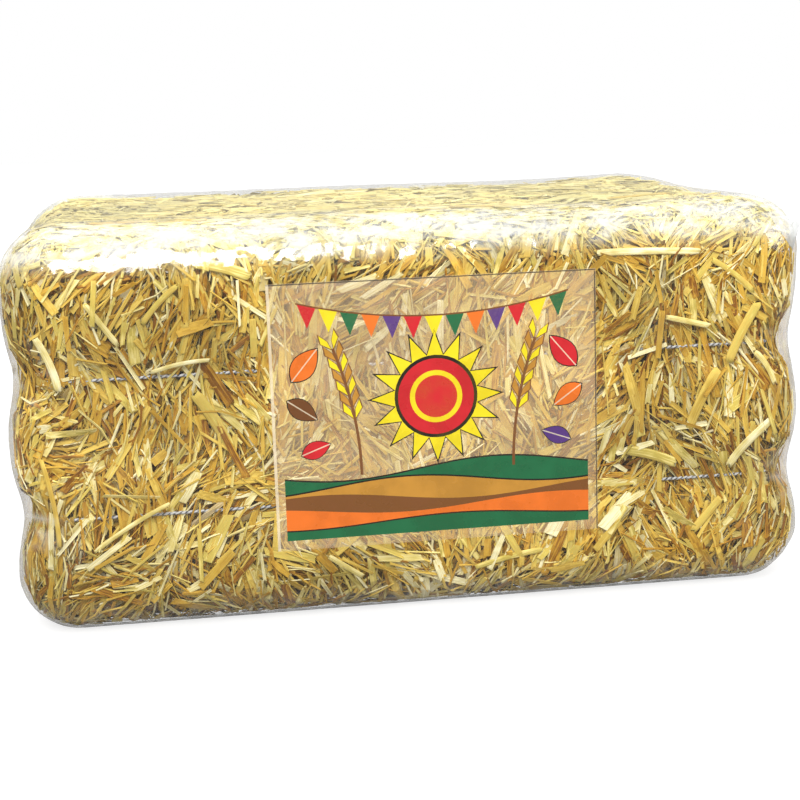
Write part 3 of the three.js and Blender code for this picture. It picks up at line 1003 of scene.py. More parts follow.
@dataclass
class StrawMass:
    """The pressed straw: a core painted dark as shade, under sides laid from chopped pieces."""

    form: BaleForm
    depth: float = 6.5 * MM
    drift_scale: float = 20.0
    stand_out: float = 2.3 * MM
    proud: float = 1.6 * MM
    proud_from: float = 0.9
    film_cover: float = 1.3 * MM
    ceiling_give: float = 0.25 * MM
    upward_from: float = 0.12
    upward_full: float = 0.65

    # How straw passes a tie: how high it starts and ends, and which pieces lie over it
    tie_low: float = 0.5 * MM
    tie_high: float = 3.3 * MM
    tie_band: float = 2.0 * MM
    tie_slope: float = 0.7
    tie_near: float = 4 * MM
    over_from: float = 0.35
    over_bare_from: float = 0.93

    # Stretches of the front, in X, where the straw leaves a tie bare
    bare: tuple[tuple[float, float], ...] = (
        (-160 * MM, -88 * MM), (118 * MM, 168 * MM))

    core_cell: float = 4 * MM
    core_depth: float = 5.0 * MM
    core_lump: float = 7 * MM
    core_rough: float = 1.2 * MM
    core_floor: float = 1.2 * MM

    def build(self) -> list[bpy.types.Object]:
        """Lays all the sides and the core.

        Returns:
            The pieces.
        """
        material = StrawFinish().material()
        tree = StrawScatter(StrawPieces().build(), material).tree()
        pieces = [self._side(lay, tree) for lay in SIDE_LAYS]
        pieces.append(self._core())
        for piece in pieces:
            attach(piece, ROOT)
            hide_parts("straw_block")
        return pieces

    def _side(self, lay: SideLay, tree: bpy.types.NodeTree) -> bpy.types.Object:
        """Strews one side's sheet and wraps it round the bale.

        Args:
            lay: how the straw lies on that side.
            tree: the scatter.
        Returns:
            The finished piece.
        """
        a, b = self.form.reach(lay.face)
        sheet = make_object(f"sheet_{lay.face.name.lower()}",
                            [(-a, -b, 0), (a, -b, 0), (a, b, 0), (-a, b, 0)], [[0, 1, 2, 3]])
        modifier = sheet.modifiers.new("strew", "NODES")
        modifier.node_group = tree
        values = {"Density": lay.count / (4 * a * b), "Heading": lay.heading, "Swing": lay.swing,
                  "Spread": lay.spread, "Drift Scale": self.drift_scale, "Depth": self.depth,
                  "Seed": lay.seed}
        for item in tree.interface.items_tree:
            if item.name in values and item.in_out == "INPUT":
                modifier[item.identifier] = values[item.name]
        graph = bpy.context.evaluated_depsgraph_get()
        mesh = bpy.data.meshes.new_from_object(sheet.evaluated_get(graph), depsgraph=graph,
                                               preserve_all_data_layers=True)
        bpy.data.objects.remove(sheet)
        self._wrap(mesh, lay.face)
        piece = bpy.data.objects.new(f"straw_{lay.face.name.lower()}", mesh)
        bpy.context.scene.collection.objects.link(piece)
        LOG.info("%s: %d pieces asked, %d faces", piece.name, lay.count, len(mesh.polygons))
        return piece

    def _wrap(self, mesh: bpy.types.Mesh, face: Face) -> None:
        """Moves a flat layer of straw onto its side of the bale, pressed flat under the film.

        Args:
            mesh: the strewn pieces, with height above the sheet as Z.
            face: the side of the bale.
        """
        count = len(mesh.vertices)
        flat = np.empty(count * 3, dtype=np.float32)
        mesh.vertices.foreach_get("co", flat)
        flat = flat.reshape(-1, 3).astype(float)
        lift = np.empty(count, dtype=np.float32)
        mesh.attributes["lift"].data.foreach_get("value", lift)
        on = self.form.on_box(face, flat[:, :2])
        point, normal = self.form.surface(on, STRAW_SKIN)
        film, _ = self.form.surface(on, FILM_SKIN)
        room = np.einsum("ij,ij->i", film - point, normal)
        height = flat[:, 2] + self.stand_out + self.proud * (lift > self.proud_from)
        height = self._round_ties(height, point, lift, face)
        ceiling = room - self.film_cover
        pressed = ceiling - self.ceiling_give * np.tanh((height - ceiling) / MM)
        height = np.where(height > ceiling, pressed, height)
        if face is Face.UNDERSIDE:
            height = np.minimum(height, 0)
        point += normal * height[:, None]
        mesh.vertices.foreach_set("co", point.astype(np.float32).ravel())
        # How far each vertex faces up; the straw material turns it into painted light on the top.
        set_values(mesh, "upward", smooth(normal[:, 2], self.upward_from, self.upward_full))
        mesh.update()

    def _round_ties(self, height: Points, point: Points, lift: Points, face: Face) -> Points:
        """Keeps straw out of the twine: each piece that crosses a tie passes under it or over it.

        Args:
            height: how far each vertex is above the form.
            point: where the form is there.
            lift: the random number that each piece carries.
            face: the side of the bale.
        Returns:
            The heights, changed near the ties.
        """
        over = lift > self.over_from
        if face is Face.FRONT:
            for low, high in self.bare:
                shown = (point[:, 0] > low) & (point[:, 0] < high)
                over &= ~(shown & (lift < self.over_bare_from))
        for tie in self.form.ties:
            beside = np.maximum(0, np.abs(point[:, 2] - tie) - self.tie_band) * self.tie_slope
            above = np.maximum(height, self.tie_high - beside)
            below = np.minimum(height, self.tie_low + beside)
            height = np.where(beside < self.tie_near, np.where(over, above, below), height)
        return height

    def _core(self) -> bpy.types.Object:
        """The mass, painted dark as shade, that shows between the pieces on top.

        Returns:
            The piece.
        """
        on, faces = box_grid(self.form, self.core_cell)
        place, normal = self.form.surface(on, STRAW_SKIN)
        rough = np.array([noise.noise(Vector(p) / self.core_lump) for p in place])
        place -= normal * (self.core_depth + rough[:, None] * self.core_rough)
        place[:, 2] = np.maximum(place[:, 2], self.core_floor)
        return make_object("straw_core", place, faces, [CoreFinish().material()])


def box_grid(form: BaleForm, cell: float) -> tuple[Points, list[list[int]]]:
    """A closed grid of about square cells over the plain box.

    Args:
        form: the bale's form.
        cell: about how wide a cell is.
    Returns:
        The points of the plain box and the faces.
    """
    rows = []
    for axis in range(3):
        flat, around = form.flat[axis], form.edge_round[axis]
        turns = max(3, round(around * QUARTER_ROUND / cell))
        edge = flat + around * np.tan(np.linspace(0, QUARTER_ROUND, turns + 1))
        inner = np.linspace(-flat, flat, max(2, round(2 * flat / cell)) + 1)
        rows.append(np.concatenate([-edge[:0:-1], inner, edge[1:]]))
    index: dict[tuple[int, int, int], int] = {}
    points: list[Points] = []
    faces: list[list[int]] = []

    def vertex(place: list[int]) -> int:
        """The number of the vertex at a place of the grid, which is added when it is new.

        Args:
            place: the place's row along each axis.
        Returns:
            The vertex's number.
        """
        key = tuple(place)
        if key not in index:
            index[key] = len(points)
            points.append([rows[way][place[way]] for way in range(3)])
        return index[key]

    for axis, u, v in ((0, 1, 2), (1, 2, 0), (2, 0, 1)):
        for end in (0, len(rows[axis]) - 1):
            for i in range(len(rows[u]) - 1):
                for j in range(len(rows[v]) - 1):
                    corners = []
                    for du, dv in ((0, 0), (1, 0), (1, 1), (0, 1)):
                        place = [0, 0, 0]
                        place[axis], place[u], place[v] = end, i + du, j + dv
                        corners.append(vertex(place))
                    faces.append(corners if end else corners[::-1])
    return np.array(points), faces


@dataclass
class LooseStalks:
    """The large single stalks under the film, each shaped from the solid that holds its place."""

    form: BaleForm
    nodes: list[str]
    solid_sides: int = 6
    stations: int = 14
    sides: int = 10
    seed: int = 21
    least_width: float = 0.94
    width_spread: float = 0.05
    end_width: float = 0.82
    thick: float = 0.8 * MM
    ribs: int = 5
    rib_depth: float = 0.12
    curl: float = 0.35 * MM
    sunk: float = 0.2 * MM
    torn: float = 1.2 * MM
    tones: tuple[float, ...] = (0.5, 0.62, 0.72, 0.82, 0.9)

    def build(self) -> list[bpy.types.Object]:
        """Shapes every stalk.

        Returns:
            The pieces.
        """
        random = np.random.default_rng(self.seed)
        material = StrawFinish(name="loose_straw", rough=0.55, fibre_depth=0.2 * MM).material()
        return [self._stalk(name, material, random) for name in self.nodes]

    def _rings(self, node: str) -> tuple[Points, Points]:
        """Reads a stalk's line and width from its solid, which is a row of rings.

        Args:
            node: the solid.
        Returns:
            The middle of each ring, and the way from there to the ring's farthest vertex.
        """
        raw = np.array([tuple(vertex.co) for vertex in bpy.data.objects[node].data.vertices])
        unique = np.unique(np.round(raw, 6), axis=0)
        middle = unique.mean(axis=0)
        _, _, ways = np.linalg.svd(unique - middle)
        order = np.argsort((unique - middle) @ ways[0])
        rings = unique[order].reshape(-1, self.solid_sides, 3)
        centres = rings.mean(axis=1)
        spans = []
        for ring, centre in zip(rings, centres):
            far = ring[np.argmax(np.linalg.norm(ring - centre, axis=1))] - centre
            if spans and far @ spans[-1] < 0:
                far = -far
            spans.append(far)
        return centres, np.array(spans)

    def _stalk(self, node: str, material: bpy.types.Material,
               random: np.random.Generator) -> bpy.types.Object:
        """One flattened stalk with its edges curled outwards, fine ribs and torn ends.

        Args:
            node: the solid whose place it takes.
            material: its finish.
            random: where its own shape comes from.
        Returns:
            The piece.
        """
        centres, spans = self._rings(node)
        at = np.linspace(0, len(centres) - 1, self.stations)
        line = np.stack([smooth_line(at, centres[:, axis]) for axis in range(3)], axis=1)
        span = np.stack([np.interp(at, range(len(spans)), spans[:, axis]) for axis in range(3)], axis=1)
        along = unit(np.gradient(line, axis=0))
        half = np.linalg.norm(span, axis=1)
        side = unit(span)
        out = unit(np.cross(side, along))
        out *= np.sign(np.einsum("ij,ij->i", out, line - self.form.centre))[:, None]
        flip = np.sign(np.einsum("ij,ij->i", np.cross(out, along), side))[:, None]
        side *= np.where(flip == 0, 1, flip)
        spacing = np.linalg.norm(line[1] - line[0])
        turns = np.linspace(0, 2 * math.pi, self.sides, endpoint=False)
        rib = 1 + self.rib_depth * np.cos(self.ribs * turns + 1.0)
        through = self.thick * np.sin(turns) * rib + self.curl * np.cos(turns) ** 2 - self.sunk
        points, uv = [], []
        for i in range(self.stations):
            at_end = i in (0, self.stations - 1)
            share = self.least_width + self.width_spread * random.random()
            across = half[i] * share * (self.end_width if at_end else 1) * np.cos(turns)
            torn = random.uniform(-1, 1, self.sides) * self.torn if at_end else np.zeros(self.sides)
            points.append(line[i] + across[:, None] * side[i] + through[:, None] * out[i]
                          + torn[:, None] * along[i])
            uv.append(np.stack([np.full(self.sides, i / MM * spacing),
                                across / MM + 2 * np.sin(turns)], axis=1))
        piece = make_object(f"{node}_fine", np.concatenate(points),
                            tube_faces(self.stations, self.sides), [material])
        set_uv(piece, np.concatenate(uv))
        set_values(piece.data, "tone", np.full(len(piece.data.vertices), random.choice(self.tones)))
        fix_normals(piece)
        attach(piece, ROOT)
        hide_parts(node)
        return piece


def smooth_line(at: Points, values: Points) -> Points:
    """Values on a smooth curve through evenly spaced ones.

    Args:
        at: places along the row of values.
        values: the values there, three or four of them.
    Returns:
        The values in between.
    """
    return np.polyval(np.polyfit(range(len(values)), values, min(3, len(values) - 1)), at)


@dataclass
class Ties:
    """The two loops of twine, each with its knot and tails at the back."""

    form: BaleForm
    radius: float = 0.9 * MM
    standoff: float = 1.0 * MM
    lay: float = 5.5 * MM
    ply_waist: float = 0.62
    sides: int = 10
    face_points: int = 200
    step: float = 1.1 * MM
    knot_x: float = -38 * MM
    knot_size: float = 0.45
    knot_points: int = 60
    tail: float = 16 * MM
    tail_arch: float = 1.5 * MM
    tail_drop: float = 1.0 * MM
    tail_away: float = 0.3 * MM
    tail_points: int = 16
    rise: float = math.radians(16)

    def build(self) -> list[bpy.types.Object]:
        """Makes both ties.

        Returns:
            The pieces.
        """
        material = TwineFinish().material()
        made = []
        for name, height in zip(("lower_tie", "upper_tie"), self.form.ties):
            piece = self._tie(f"{name}_twine", height, material)
            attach(piece, ROOT)
            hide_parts(name)
            made.append(piece)
        return made

    def _path(self, height: float) -> Points:
        """The twine's middle line round the bale, in even steps.

        Args:
            height: how high it runs.
        Returns:
            Its points.
        """
        around = []
        for face in (Face.FRONT, Face.RIGHT, Face.BACK, Face.LEFT):
            reach, _ = self.form.reach(face)
            sheet = np.zeros((self.face_points, 2))
            sheet[:, 0] = np.linspace(-reach, reach, self.face_points, endpoint=False)
            on = self.form.on_box(face, sheet)
            on[:, 2] = height - self.form.centre[2]
            around.append(on)
        point, normal = self.form.surface(np.concatenate(around), STRAW_SKIN)
        level = unit(normal * [1, 1, 0])
        point += level * (self.standoff + self.radius)
        point[:, 2] = height
        return resample_loop(point, self.step)

    def _ply_tube(self, line: Points, closed: bool) -> tuple[Points, Points, Points, list[list[int]]]:
        """A twisted two-ply tube along a line.

        Args:
            line: the middle line, in even steps.
            closed: whether it is a loop.
        Returns:
            Vertices, flat places, how deep each vertex is between the plies, and faces.
        """
        if closed:
            along = unit(np.roll(line, -1, axis=0) - np.roll(line, 1, axis=0))
        else:
            along = unit(np.gradient(line, axis=0))
        side = unit(np.cross(along, [0, 0, 1]))
        rise = np.cross(side, along)
        distance = np.arange(len(line)) * np.linalg.norm(line[1] - line[0])
        turns = np.linspace(0, 2 * math.pi, self.sides, endpoint=False)
        lays = max(1, round(distance[-1] / self.lay))
        phase = 2 * math.pi * lays * np.arange(len(line)) / (len(line) if closed else len(line) - 1)
        lobe = np.abs(np.cos(turns[None, :] - phase[:, None]))
        size = self.radius * (self.ply_waist + (1 - self.ply_waist) * lobe)
        points = (line[:, None, :] + (size * np.cos(turns))[..., None] * side[:, None, :]
                  + (size * np.sin(turns))[..., None] * rise[:, None, :])
        uv = np.stack([np.repeat(distance[:, None] / MM, self.sides, axis=1),
                       np.broadcast_to(turns, lobe.shape)], axis=-1)
        faces = tube_faces(len(line), self.sides, closed)
        return points.reshape(-1, 3), uv.reshape(-1, 2), (1 - lobe).ravel(), faces

    def _tie(self, name: str, height: float, material: bpy.types.Material) -> bpy.types.Object:
        """One tie with its knot.

        Args:
            name: the piece's name.
            height: how high it runs.
            material: its finish.
        Returns:
            The piece.
        """
        loop = self._path(height)
        knot_at = np.array([self.knot_x, loop[:, 1].max() + self.radius, height])
        turn = np.linspace(0, 2 * math.pi, self.knot_points, endpoint=False)
        knot = knot_at + self.knot_size * self.radius * np.stack([
            np.sin(turn) + 2 * np.sin(2 * turn), 0.8 * np.sin(3 * turn),
            np.cos(turn) - 2 * np.cos(2 * turn)], axis=1)
        tubes = [self._ply_tube(loop, True), self._ply_tube(knot, True)]
        share = np.linspace(0, 1, self.tail_points)
        for side in (-1, 1):
            level = side * self.tail * share * math.cos(self.rise)
            climb = (self.tail * share * math.sin(self.rise) + self.tail_arch * np.sin(3 * share)
                     - self.tail_drop * share)
            tail = knot_at + np.stack([level, self.tail_away * share, climb], axis=1)
            tubes.append(self._ply_tube(tail, False))
        points, uv, groove, faces = zip(*tubes)
        piece = make_object(name, np.concatenate(points), join_faces(points, faces), [material])
        set_uv(piece, np.concatenate(uv))
        set_values(piece.data, "groove", np.concatenate(groove))
        fix_normals(piece)
        return piece


def resample_loop(line: Points, step: float) -> Points:
    """A closed line in even steps.

    Args:
        line: its points.
        step: about how long a step is.
    Returns:
        The new points.
    """
    closed = np.concatenate([line, line[:1]])
    lengths = np.concatenate([[0], np.cumsum(np.linalg.norm(np.diff(closed, axis=0), axis=1))])
    count = round(lengths[-1] / step)
    at = np.linspace(0, lengths[-1], count, endpoint=False)
    return np.stack([np.interp(at, lengths, closed[:, axis]) for axis in range(3)], axis=1)


@dataclass
class ShrinkFilm:
    """The clear film: tight over the flats, drawn in over the ties, gathered at the corners."""

    form: BaleForm
    cell: float = 3.6 * MM

    # Ripples over the whole film, and folds where it is gathered at the corners
    ripple: float = 0.5 * MM
    ripple_size: float = 17 * MM
    ridge_size: float = 8 * MM
    gather: float = 1.3 * MM
    gather_span: tuple[float, float] = (0.02, 0.35)
    gather_haze: float = 0.1

    # Milky pleats at the ends, where the ties draw the film in
    pinch_reach: float = 15 * MM
    pinch_span: tuple[float, float] = (168 * MM, 192 * MM)
    pinch_haze: float = 0.34
    pleat_size: Points = field(default_factory=lambda: np.array([12, 26, 5]) * MM)

    # The band of painted highlight along the top's front edge: its slope in degrees, and how far back
    # it goes
    painted_glare_rise: tuple[float, float] = (6, 34)
    painted_glare_fall: tuple[float, float] = (60, 85)
    painted_glare_back: tuple[float, float] = (-116 * MM, -84 * MM)

    ear_haze: float = 0.32
    ear_thick: float = 0.25 * MM
    ear_bow: float = 1.2 * MM

    def build(self) -> bpy.types.Object:
        """Makes the film.

        Returns:
            The piece.
        """
        on, faces = box_grid(self.form, self.cell)
        point, normal = self.form.surface(on, FILM_SKIN)
        point -= normal * self._slack(point)[:, None]
        gathered = self._gathered(point)
        point -= normal * (self.gather * gathered * self._folds(point))[:, None]
        haze = self.gather_haze * gathered + self._pinched(point)
        ears = [self._ear(np.array(outline) * MM, y * MM) for outline, y in EARS]
        points, all_faces = zip((point, faces), *ears)
        piece = make_object("clear_film", np.concatenate(points), join_faces(points, all_faces),
                            [FilmFinish().material(self.form)])
        in_ears = sum(len(ear) for ear, _ in ears)
        set_values(piece.data, "haze", np.append(haze, np.full(in_ears, self.ear_haze)))
        # The painted highlight along the top's front edge.
        set_values(piece.data, "glare", np.append(self._painted_glare(point, normal), np.zeros(in_ears)))
        let_light_through(piece)
        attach(piece, ROOT)
        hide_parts("shrink_film")
        return piece

    def _slack(self, point: Points) -> Points:
        """How far the film is drawn in from its plain form: slight ripples, none on the floor.

        Args:
            point: its points.
        Returns:
            A distance for each.
        """
        soft = np.array([noise.noise(Vector(p) / self.ripple_size) for p in point])
        ridge = np.array([abs(noise.noise(Vector(p) / self.ridge_size)) for p in point])
        off_floor = smooth(point[:, 2], 0.5 * MM, 8 * MM)
        return self.ripple * (0.5 + 0.5 * soft + 0.8 * ridge) * off_floor

    def _gathered(self, point: Points) -> Points:
        """How near each point is to a corner of the bale, from 0 to 1."""
        past = (np.abs(point - self.form.centre) - self.form.flat) / self.form.edge_round
        return smooth(np.prod(np.clip(past, 0, 1), axis=1), *self.gather_span)

    def _folds(self, point: Points) -> Points:
        """How deep each point lies in the folds that run out from the corners, from 0 to 1."""
        x, y, z = (point - [0, 0, self.form.centre[2]]).T
        return np.abs(np.sin(40 * np.arctan2(z, np.abs(x)) + 9 * np.arctan2(y, x)))

    def _pinched(self, point: Points) -> Points:
        """How milky the pleats at the ends make the film.

        Args:
            point: its points.
        Returns:
            A haze for each.
        """
        at_ends = smooth(np.abs(point[:, 0]), *self.pinch_span)
        pinch = self.form.waist(point[:, 2], self.pinch_reach) * at_ends
        pleats = np.array([noise.noise(Vector(p / self.pleat_size)) for p in point])
        return pinch * self.pinch_haze * smooth(pleats, 0.0, 0.5)

    def _painted_glare(self, point: Points, normal: Points) -> Points:
        """How strongly the painted highlight whitens the film along the top's front edge.

        Args:
            point: its points.
            normal: the outward directions there.
        Returns:
            A value from 0 to 1 for each.
        """
        slope = np.degrees(np.arcsin(np.clip(normal[:, 2], -1, 1)))
        near = 1 - smooth(point[:, 1], *self.painted_glare_back)
        return smooth(slope, *self.painted_glare_rise) * near * (1 - 0.5 * smooth(slope, *self.painted_glare_fall))

    def _ear(self, outline: Points, y: float) -> tuple[Points, list[list[int]]]:
        """A thin upright flap of film.

        Args:
            outline: its outline in X and Z.
            y: how far back it stands.
        Returns:
            Its vertices and faces.
        """
        x, z = outline.T
        bow = y + self.ear_bow * np.sin(np.linspace(0, 5, len(outline)))
        rings = [np.stack([x, bow + side * self.ear_thick / 2, z], axis=1) for side in (-1, 1)]
        return np.concatenate(rings), tube_faces(2, len(outline))


# The film's two ears, as in its solid: outline in X and Z, and place in Y, in millimetres
EARS = (
    (((-146, 199), (-160, 203), (-180, 202), (-194, 196), (-202, 185), (-199, 170)), 120),
    (((193, 174), (197, 187), (190, 191), (180, 192)), -130),
)


@dataclass
class Label:
    """The see-through label: a thin sheet with a generic harvest print."""

    cell: float = 4 * MM
    recess: float = 0.18 * MM
    lift: float = 0.012 * MM
    thick: float = 0.1 * MM

    def __post_init__(self) -> None:
        """Takes the sheet's box from the frame."""
        self.low, self.high = (np.array(corner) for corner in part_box("label"))
        self.width, _, self.height = self.high - self.low
        self.points: list[Points] = []
        self.faces: list[list[int]] = []
        self.inks: list[int] = []
        self.palette = list(Ink)

    def build(self) -> bpy.types.Object:
        """Makes the sheet and its print.

        Returns:
            The piece.
        """
        self._sheet()
        self._print()
        piece = make_object("printed_label", self._upright(np.concatenate(self.points)), self.faces,
                            [InkFinish(ink).material() for ink in self.palette])
        piece.data.polygons.foreach_set("material_index", self.inks)
        let_light_through(piece)
        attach(piece, ROOT)
        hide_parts("label")
        return piece

    def _upright(self, flat: Points) -> Points:
        """Stands flat points, in X, Z and height above the sheet, up against the film's front."""
        return np.stack([flat[:, 0], self.low[1] + self.recess - flat[:, 2], flat[:, 1]], axis=1)

    def _add(self, outline: Points, ink: Ink, level: int) -> None:
        """Adds a printed shape.

        Args:
            outline: its outline in X and Z on the sheet, in millimetres from the sheet's middle.
            ink: its colour.
            level: which layer of the print it is in.
        """
        middle = (self.low + self.high)[[0, 2]] / 2
        shape = np.asarray(outline) * MM + middle
        start = sum(len(p) for p in self.points)
        self.points.append(np.column_stack([shape, np.full(len(shape), level * self.lift)]))
        order = list(range(start, start + len(shape)))
        x, z = shape.T
        area = np.sum(x * np.roll(z, -1) - np.roll(x, -1) * z)
        self.faces.append(order if area > 0 else order[::-1])
        self.inks.append(self.palette.index(ink))

    def _sheet(self) -> None:
        """The sheet itself: a front and a back of small cells, with a rim between them."""
        columns, rows = (max(2, round(size / self.cell)) for size in (self.width, self.height))
        xs = np.linspace(self.low[0], self.high[0], columns + 1)
        zs = np.linspace(self.low[2], self.high[2], rows + 1)
        grid = np.array([(x, z, 0) for z in zs for x in xs])
        self.points += [grid, grid - [0, 0, self.thick]]
        count = len(grid)

        def at(i: int, j: int, back: int = 0) -> int:
            """The number of the vertex in column i and row j, on the front or on the back."""
            return back * count + j * (columns + 1) + i

        for j in range(rows):
            for i in range(columns):
                self.faces.append([at(i, j), at(i + 1, j), at(i + 1, j + 1), at(i, j + 1)])
                self.faces.append([at(i, j, 1), at(i, j + 1, 1), at(i + 1, j + 1, 1), at(i + 1, j, 1)])
        rim = ([(i, 0) for i in range(columns)] + [(columns, j) for j in range(rows)]
               + [(columns - i, rows) for i in range(columns)] + [(0, rows - j) for j in range(rows)])
        for here, there in zip(rim, rim[1:] + rim[:1]):
            self.faces.append([at(*here), at(*here, 1), at(*there, 1), at(*there)])
        self.inks += [self.palette.index(Ink.VEIL)] * len(self.faces)

    def _print(self) -> None:
        """The print: a low sun, two ears of wheat, leaves, a row of pennants and ploughed fields."""
        half_w, half_h = self.width / MM / 2, self.height / MM / 2
        self._border(half_w, half_h)
        self._sun((0, 7), 21)
        self._fields(half_w - 5, -half_h + 5)
        self._pennants(half_w - 14, half_h - 10)
        self._wheat((-38, -30), 88, -12)
        self._wheat((38, -30), 88, 12)
        for x, z, turn, size, ink in ((-64, 26, 50, 20, Ink.ORANGE), (-66, 4, -35, 17, Ink.BROWN),
                                      (-60, -16, 20, 15, Ink.RED), (64, 26, 130, 20, Ink.RED),
                                      (66, 4, 215, 17, Ink.ORANGE), (60, -16, 160, 15, Ink.PURPLE)):
            self._leaf((x, z), turn, size, ink)

    # All that follows is in millimetres from the middle of the sheet

    def _border(self, half_w: float, half_h: float) -> None:
        """A pale strip at the left and a thin dark line at the top and the right.

        Args:
            half_w: half the sheet's width.
            half_h: half the sheet's height.
        """
        for low, high, ink in (
                ((-half_w + 0.2, -half_h + 0.2), (-half_w + 1.6, half_h - 0.2), Ink.PALE),
                ((-half_w + 0.2, half_h - 0.9), (half_w - 0.2, half_h - 0.3), Ink.EDGE),
                ((half_w - 0.9, -half_h + 0.2), (half_w - 0.3, half_h - 1.2), Ink.EDGE)):
            self._add([(low[0], low[1]), (high[0], low[1]), (high[0], high[1]), (low[0], high[1])],
                      ink, 1)

    def _sun(self, middle: Sequence[float], radius: float) -> None:
        """A red sun with a yellow ring and pointed rays, all outlined in black.

        Args:
            middle: its middle.
            radius: how large it is without its rays.
        """
        # How far out the tips and the notches are, how many corners there are, and the first angle
        for level, (ink, tip, notch, corners, first) in enumerate((
                (Ink.BLACK, 1.62, 1.02, 32, 90), (Ink.YELLOW, 1.52, 0.98, 32, 90),
                (Ink.BLACK, 0.98, 0.98, 40, 0), (Ink.RED, 0.9, 0.9, 40, 0),
                (Ink.YELLOW, 0.62, 0.62, 40, 0), (Ink.RED, 0.5, 0.5, 40, 0)), start=1):
            turns = np.radians(np.linspace(first, first + 360, corners, endpoint=False))
            sizes = radius * np.where(np.arange(corners) % 2 == 0, tip, notch)
            self._add(np.stack([middle[0] + sizes * np.cos(turns), middle[1] + sizes * np.sin(turns)],
                               axis=1), ink, level)

    def _fields(self, half_w: float, low: float) -> None:
        """Ploughed fields that roll away: bands with wavy tops.

        Args:
            half_w: half their width.
            low: where their lower edge is.
        """
        xs = np.linspace(-half_w, half_w, 34)
        for level, (height, swell, phase, ink) in enumerate((
                (32.8, 4, 0.4, Ink.BLACK), (32, 4, 0.4, Ink.GREEN), (26, 3.4, 2.2, Ink.BLACK),
                (25.2, 3.4, 2.2, Ink.GOLD), (19, 3.0, 4.0, Ink.BROWN), (13.5, 2.6, 5.4, Ink.ORANGE),
                (7, 2.0, 1.2, Ink.BLACK), (6.3, 2.0, 1.2, Ink.GREEN)), start=1):
            top = low + height + swell * np.sin(xs / 24 + phase)
            self._add(np.concatenate([np.stack([xs, top], axis=1), [(half_w, low), (-half_w, low)]]),
                      ink, level)

    def _pennants(self, half_w: float, height: float) -> None:
        """A string of small flags that hangs in a curve.

        Args:
            half_w: half its width.
            height: how high its ends are.
        """
        inks = (Ink.RED, Ink.YELLOW, Ink.GREEN, Ink.ORANGE, Ink.PURPLE)
        count = 13
        edges = np.linspace(-half_w, half_w, count + 1)

        def sag(x: float) -> float:
            """How high the string hangs at x."""
            return height - 9 + 9 * (x / half_w) ** 2

        string = [(x, sag(x) + 0.5) for x in edges] + [(x, sag(x) - 0.3) for x in edges[::-1]]
        self._add(string, Ink.BROWN, 2)
        for i in range(count):
            left, right = edges[i] + 0.6, edges[i + 1] - 0.6
            middle = (left + right) / 2
            self._add([(left, sag(left)), (right, sag(right)), (middle, sag(middle) - 11)],
                      inks[i % len(inks)], 1)

    def _wheat(self, foot: Sequence[float], length: float, lean: float) -> None:
        """A bent stem with an ear of grains along its upper part.

        Args:
            foot: where it starts.
            length: how long it is with its ear.
            lean: how far its tip leans sideways.
        """
        share = np.linspace(0, 1, 12)
        line = np.stack([foot[0] + lean * share ** 2, foot[1] + length * 0.72 * share], axis=1)
        along = unit(np.gradient(line, axis=0))
        side = np.stack([-along[:, 1], along[:, 0]], axis=1)
        self._add(np.concatenate([line + side * 0.7, (line - side * 0.7)[::-1]]), Ink.BROWN, 9)
        for i in range(5, 12):
            grain = Ink.YELLOW if i % 2 else Ink.GOLD
            for way in (-1, 1):
                root = line[i] + side[i] * way * 0.6
                tip = root + along[i] * 8.4 + side[i] * way * 3.4
                middle = (root + tip) / 2
                bulge = side[i] * way * 2.2
                shape = np.array([root, middle + bulge, tip, middle - bulge * 0.5])
                for grow, ink, level in ((1.25, Ink.BROWN, 10), (1.0, grain, 11)):
                    self._add(middle + (shape - middle) * grow, ink, level)

    def _leaf(self, middle: Sequence[float], turn: float, size: float, ink: Ink) -> None:
        """A pointed leaf with a pale midrib.

        Args:
            middle: its middle.
            turn: the way it points, in degrees from level.
            size: how long it is.
            ink: its colour.
        """
        angle = math.radians(turn)
        way = np.array([math.cos(angle), math.sin(angle)])
        side = np.array([-way[1], way[0]])
        share = np.linspace(0, 1, 9)
        width = size * 0.28 * np.sin(math.pi * share) ** 0.8 * (1.2 - 0.4 * share)
        line = np.array(middle) + np.outer(size * (share - 0.5), way)
        shape = np.concatenate([line + width[:, None] * side, (line - width[:, None] * side)[-2:0:-1]])
        self._add(np.array(middle) + (shape - middle) * 1.08, Ink.BLACK, 12)
        self._add(shape, ink, 13)
        rib = np.concatenate([line + 0.3 * side, (line - 0.3 * side)[::-1]])
        self._add(rib, Ink.PALE, 14)


@dataclass(frozen=True)
class SoftLight:
    """An area light: where it hangs, what it points at, its width and height, and its watts."""

    name: str
    place: tuple[float, float, float]
    aim: tuple[float, float, float]
    size: tuple[float, float]
    power: float


LIGHTS = (
    SoftLight("overhead", (0.0, 0.0, 1.3), (0.0, 0.0, 0.1), (1.8, 1.3), 12.0),
    SoftLight("key", (-0.3, -1.2, 1.15), (0.0, 0.0, 0.1), (0.9, 0.6), 20.0),
    SoftLight("backdrop", (0.0, 2.0, 0.75), (0.0, 0.0, 0.2), (4.0, 1.4), 2.0),
    SoftLight("side_fill", (1.6, -0.8, 0.7), (0.15, 0.0, 0.1), (0.8, 0.8), 9.0),
)


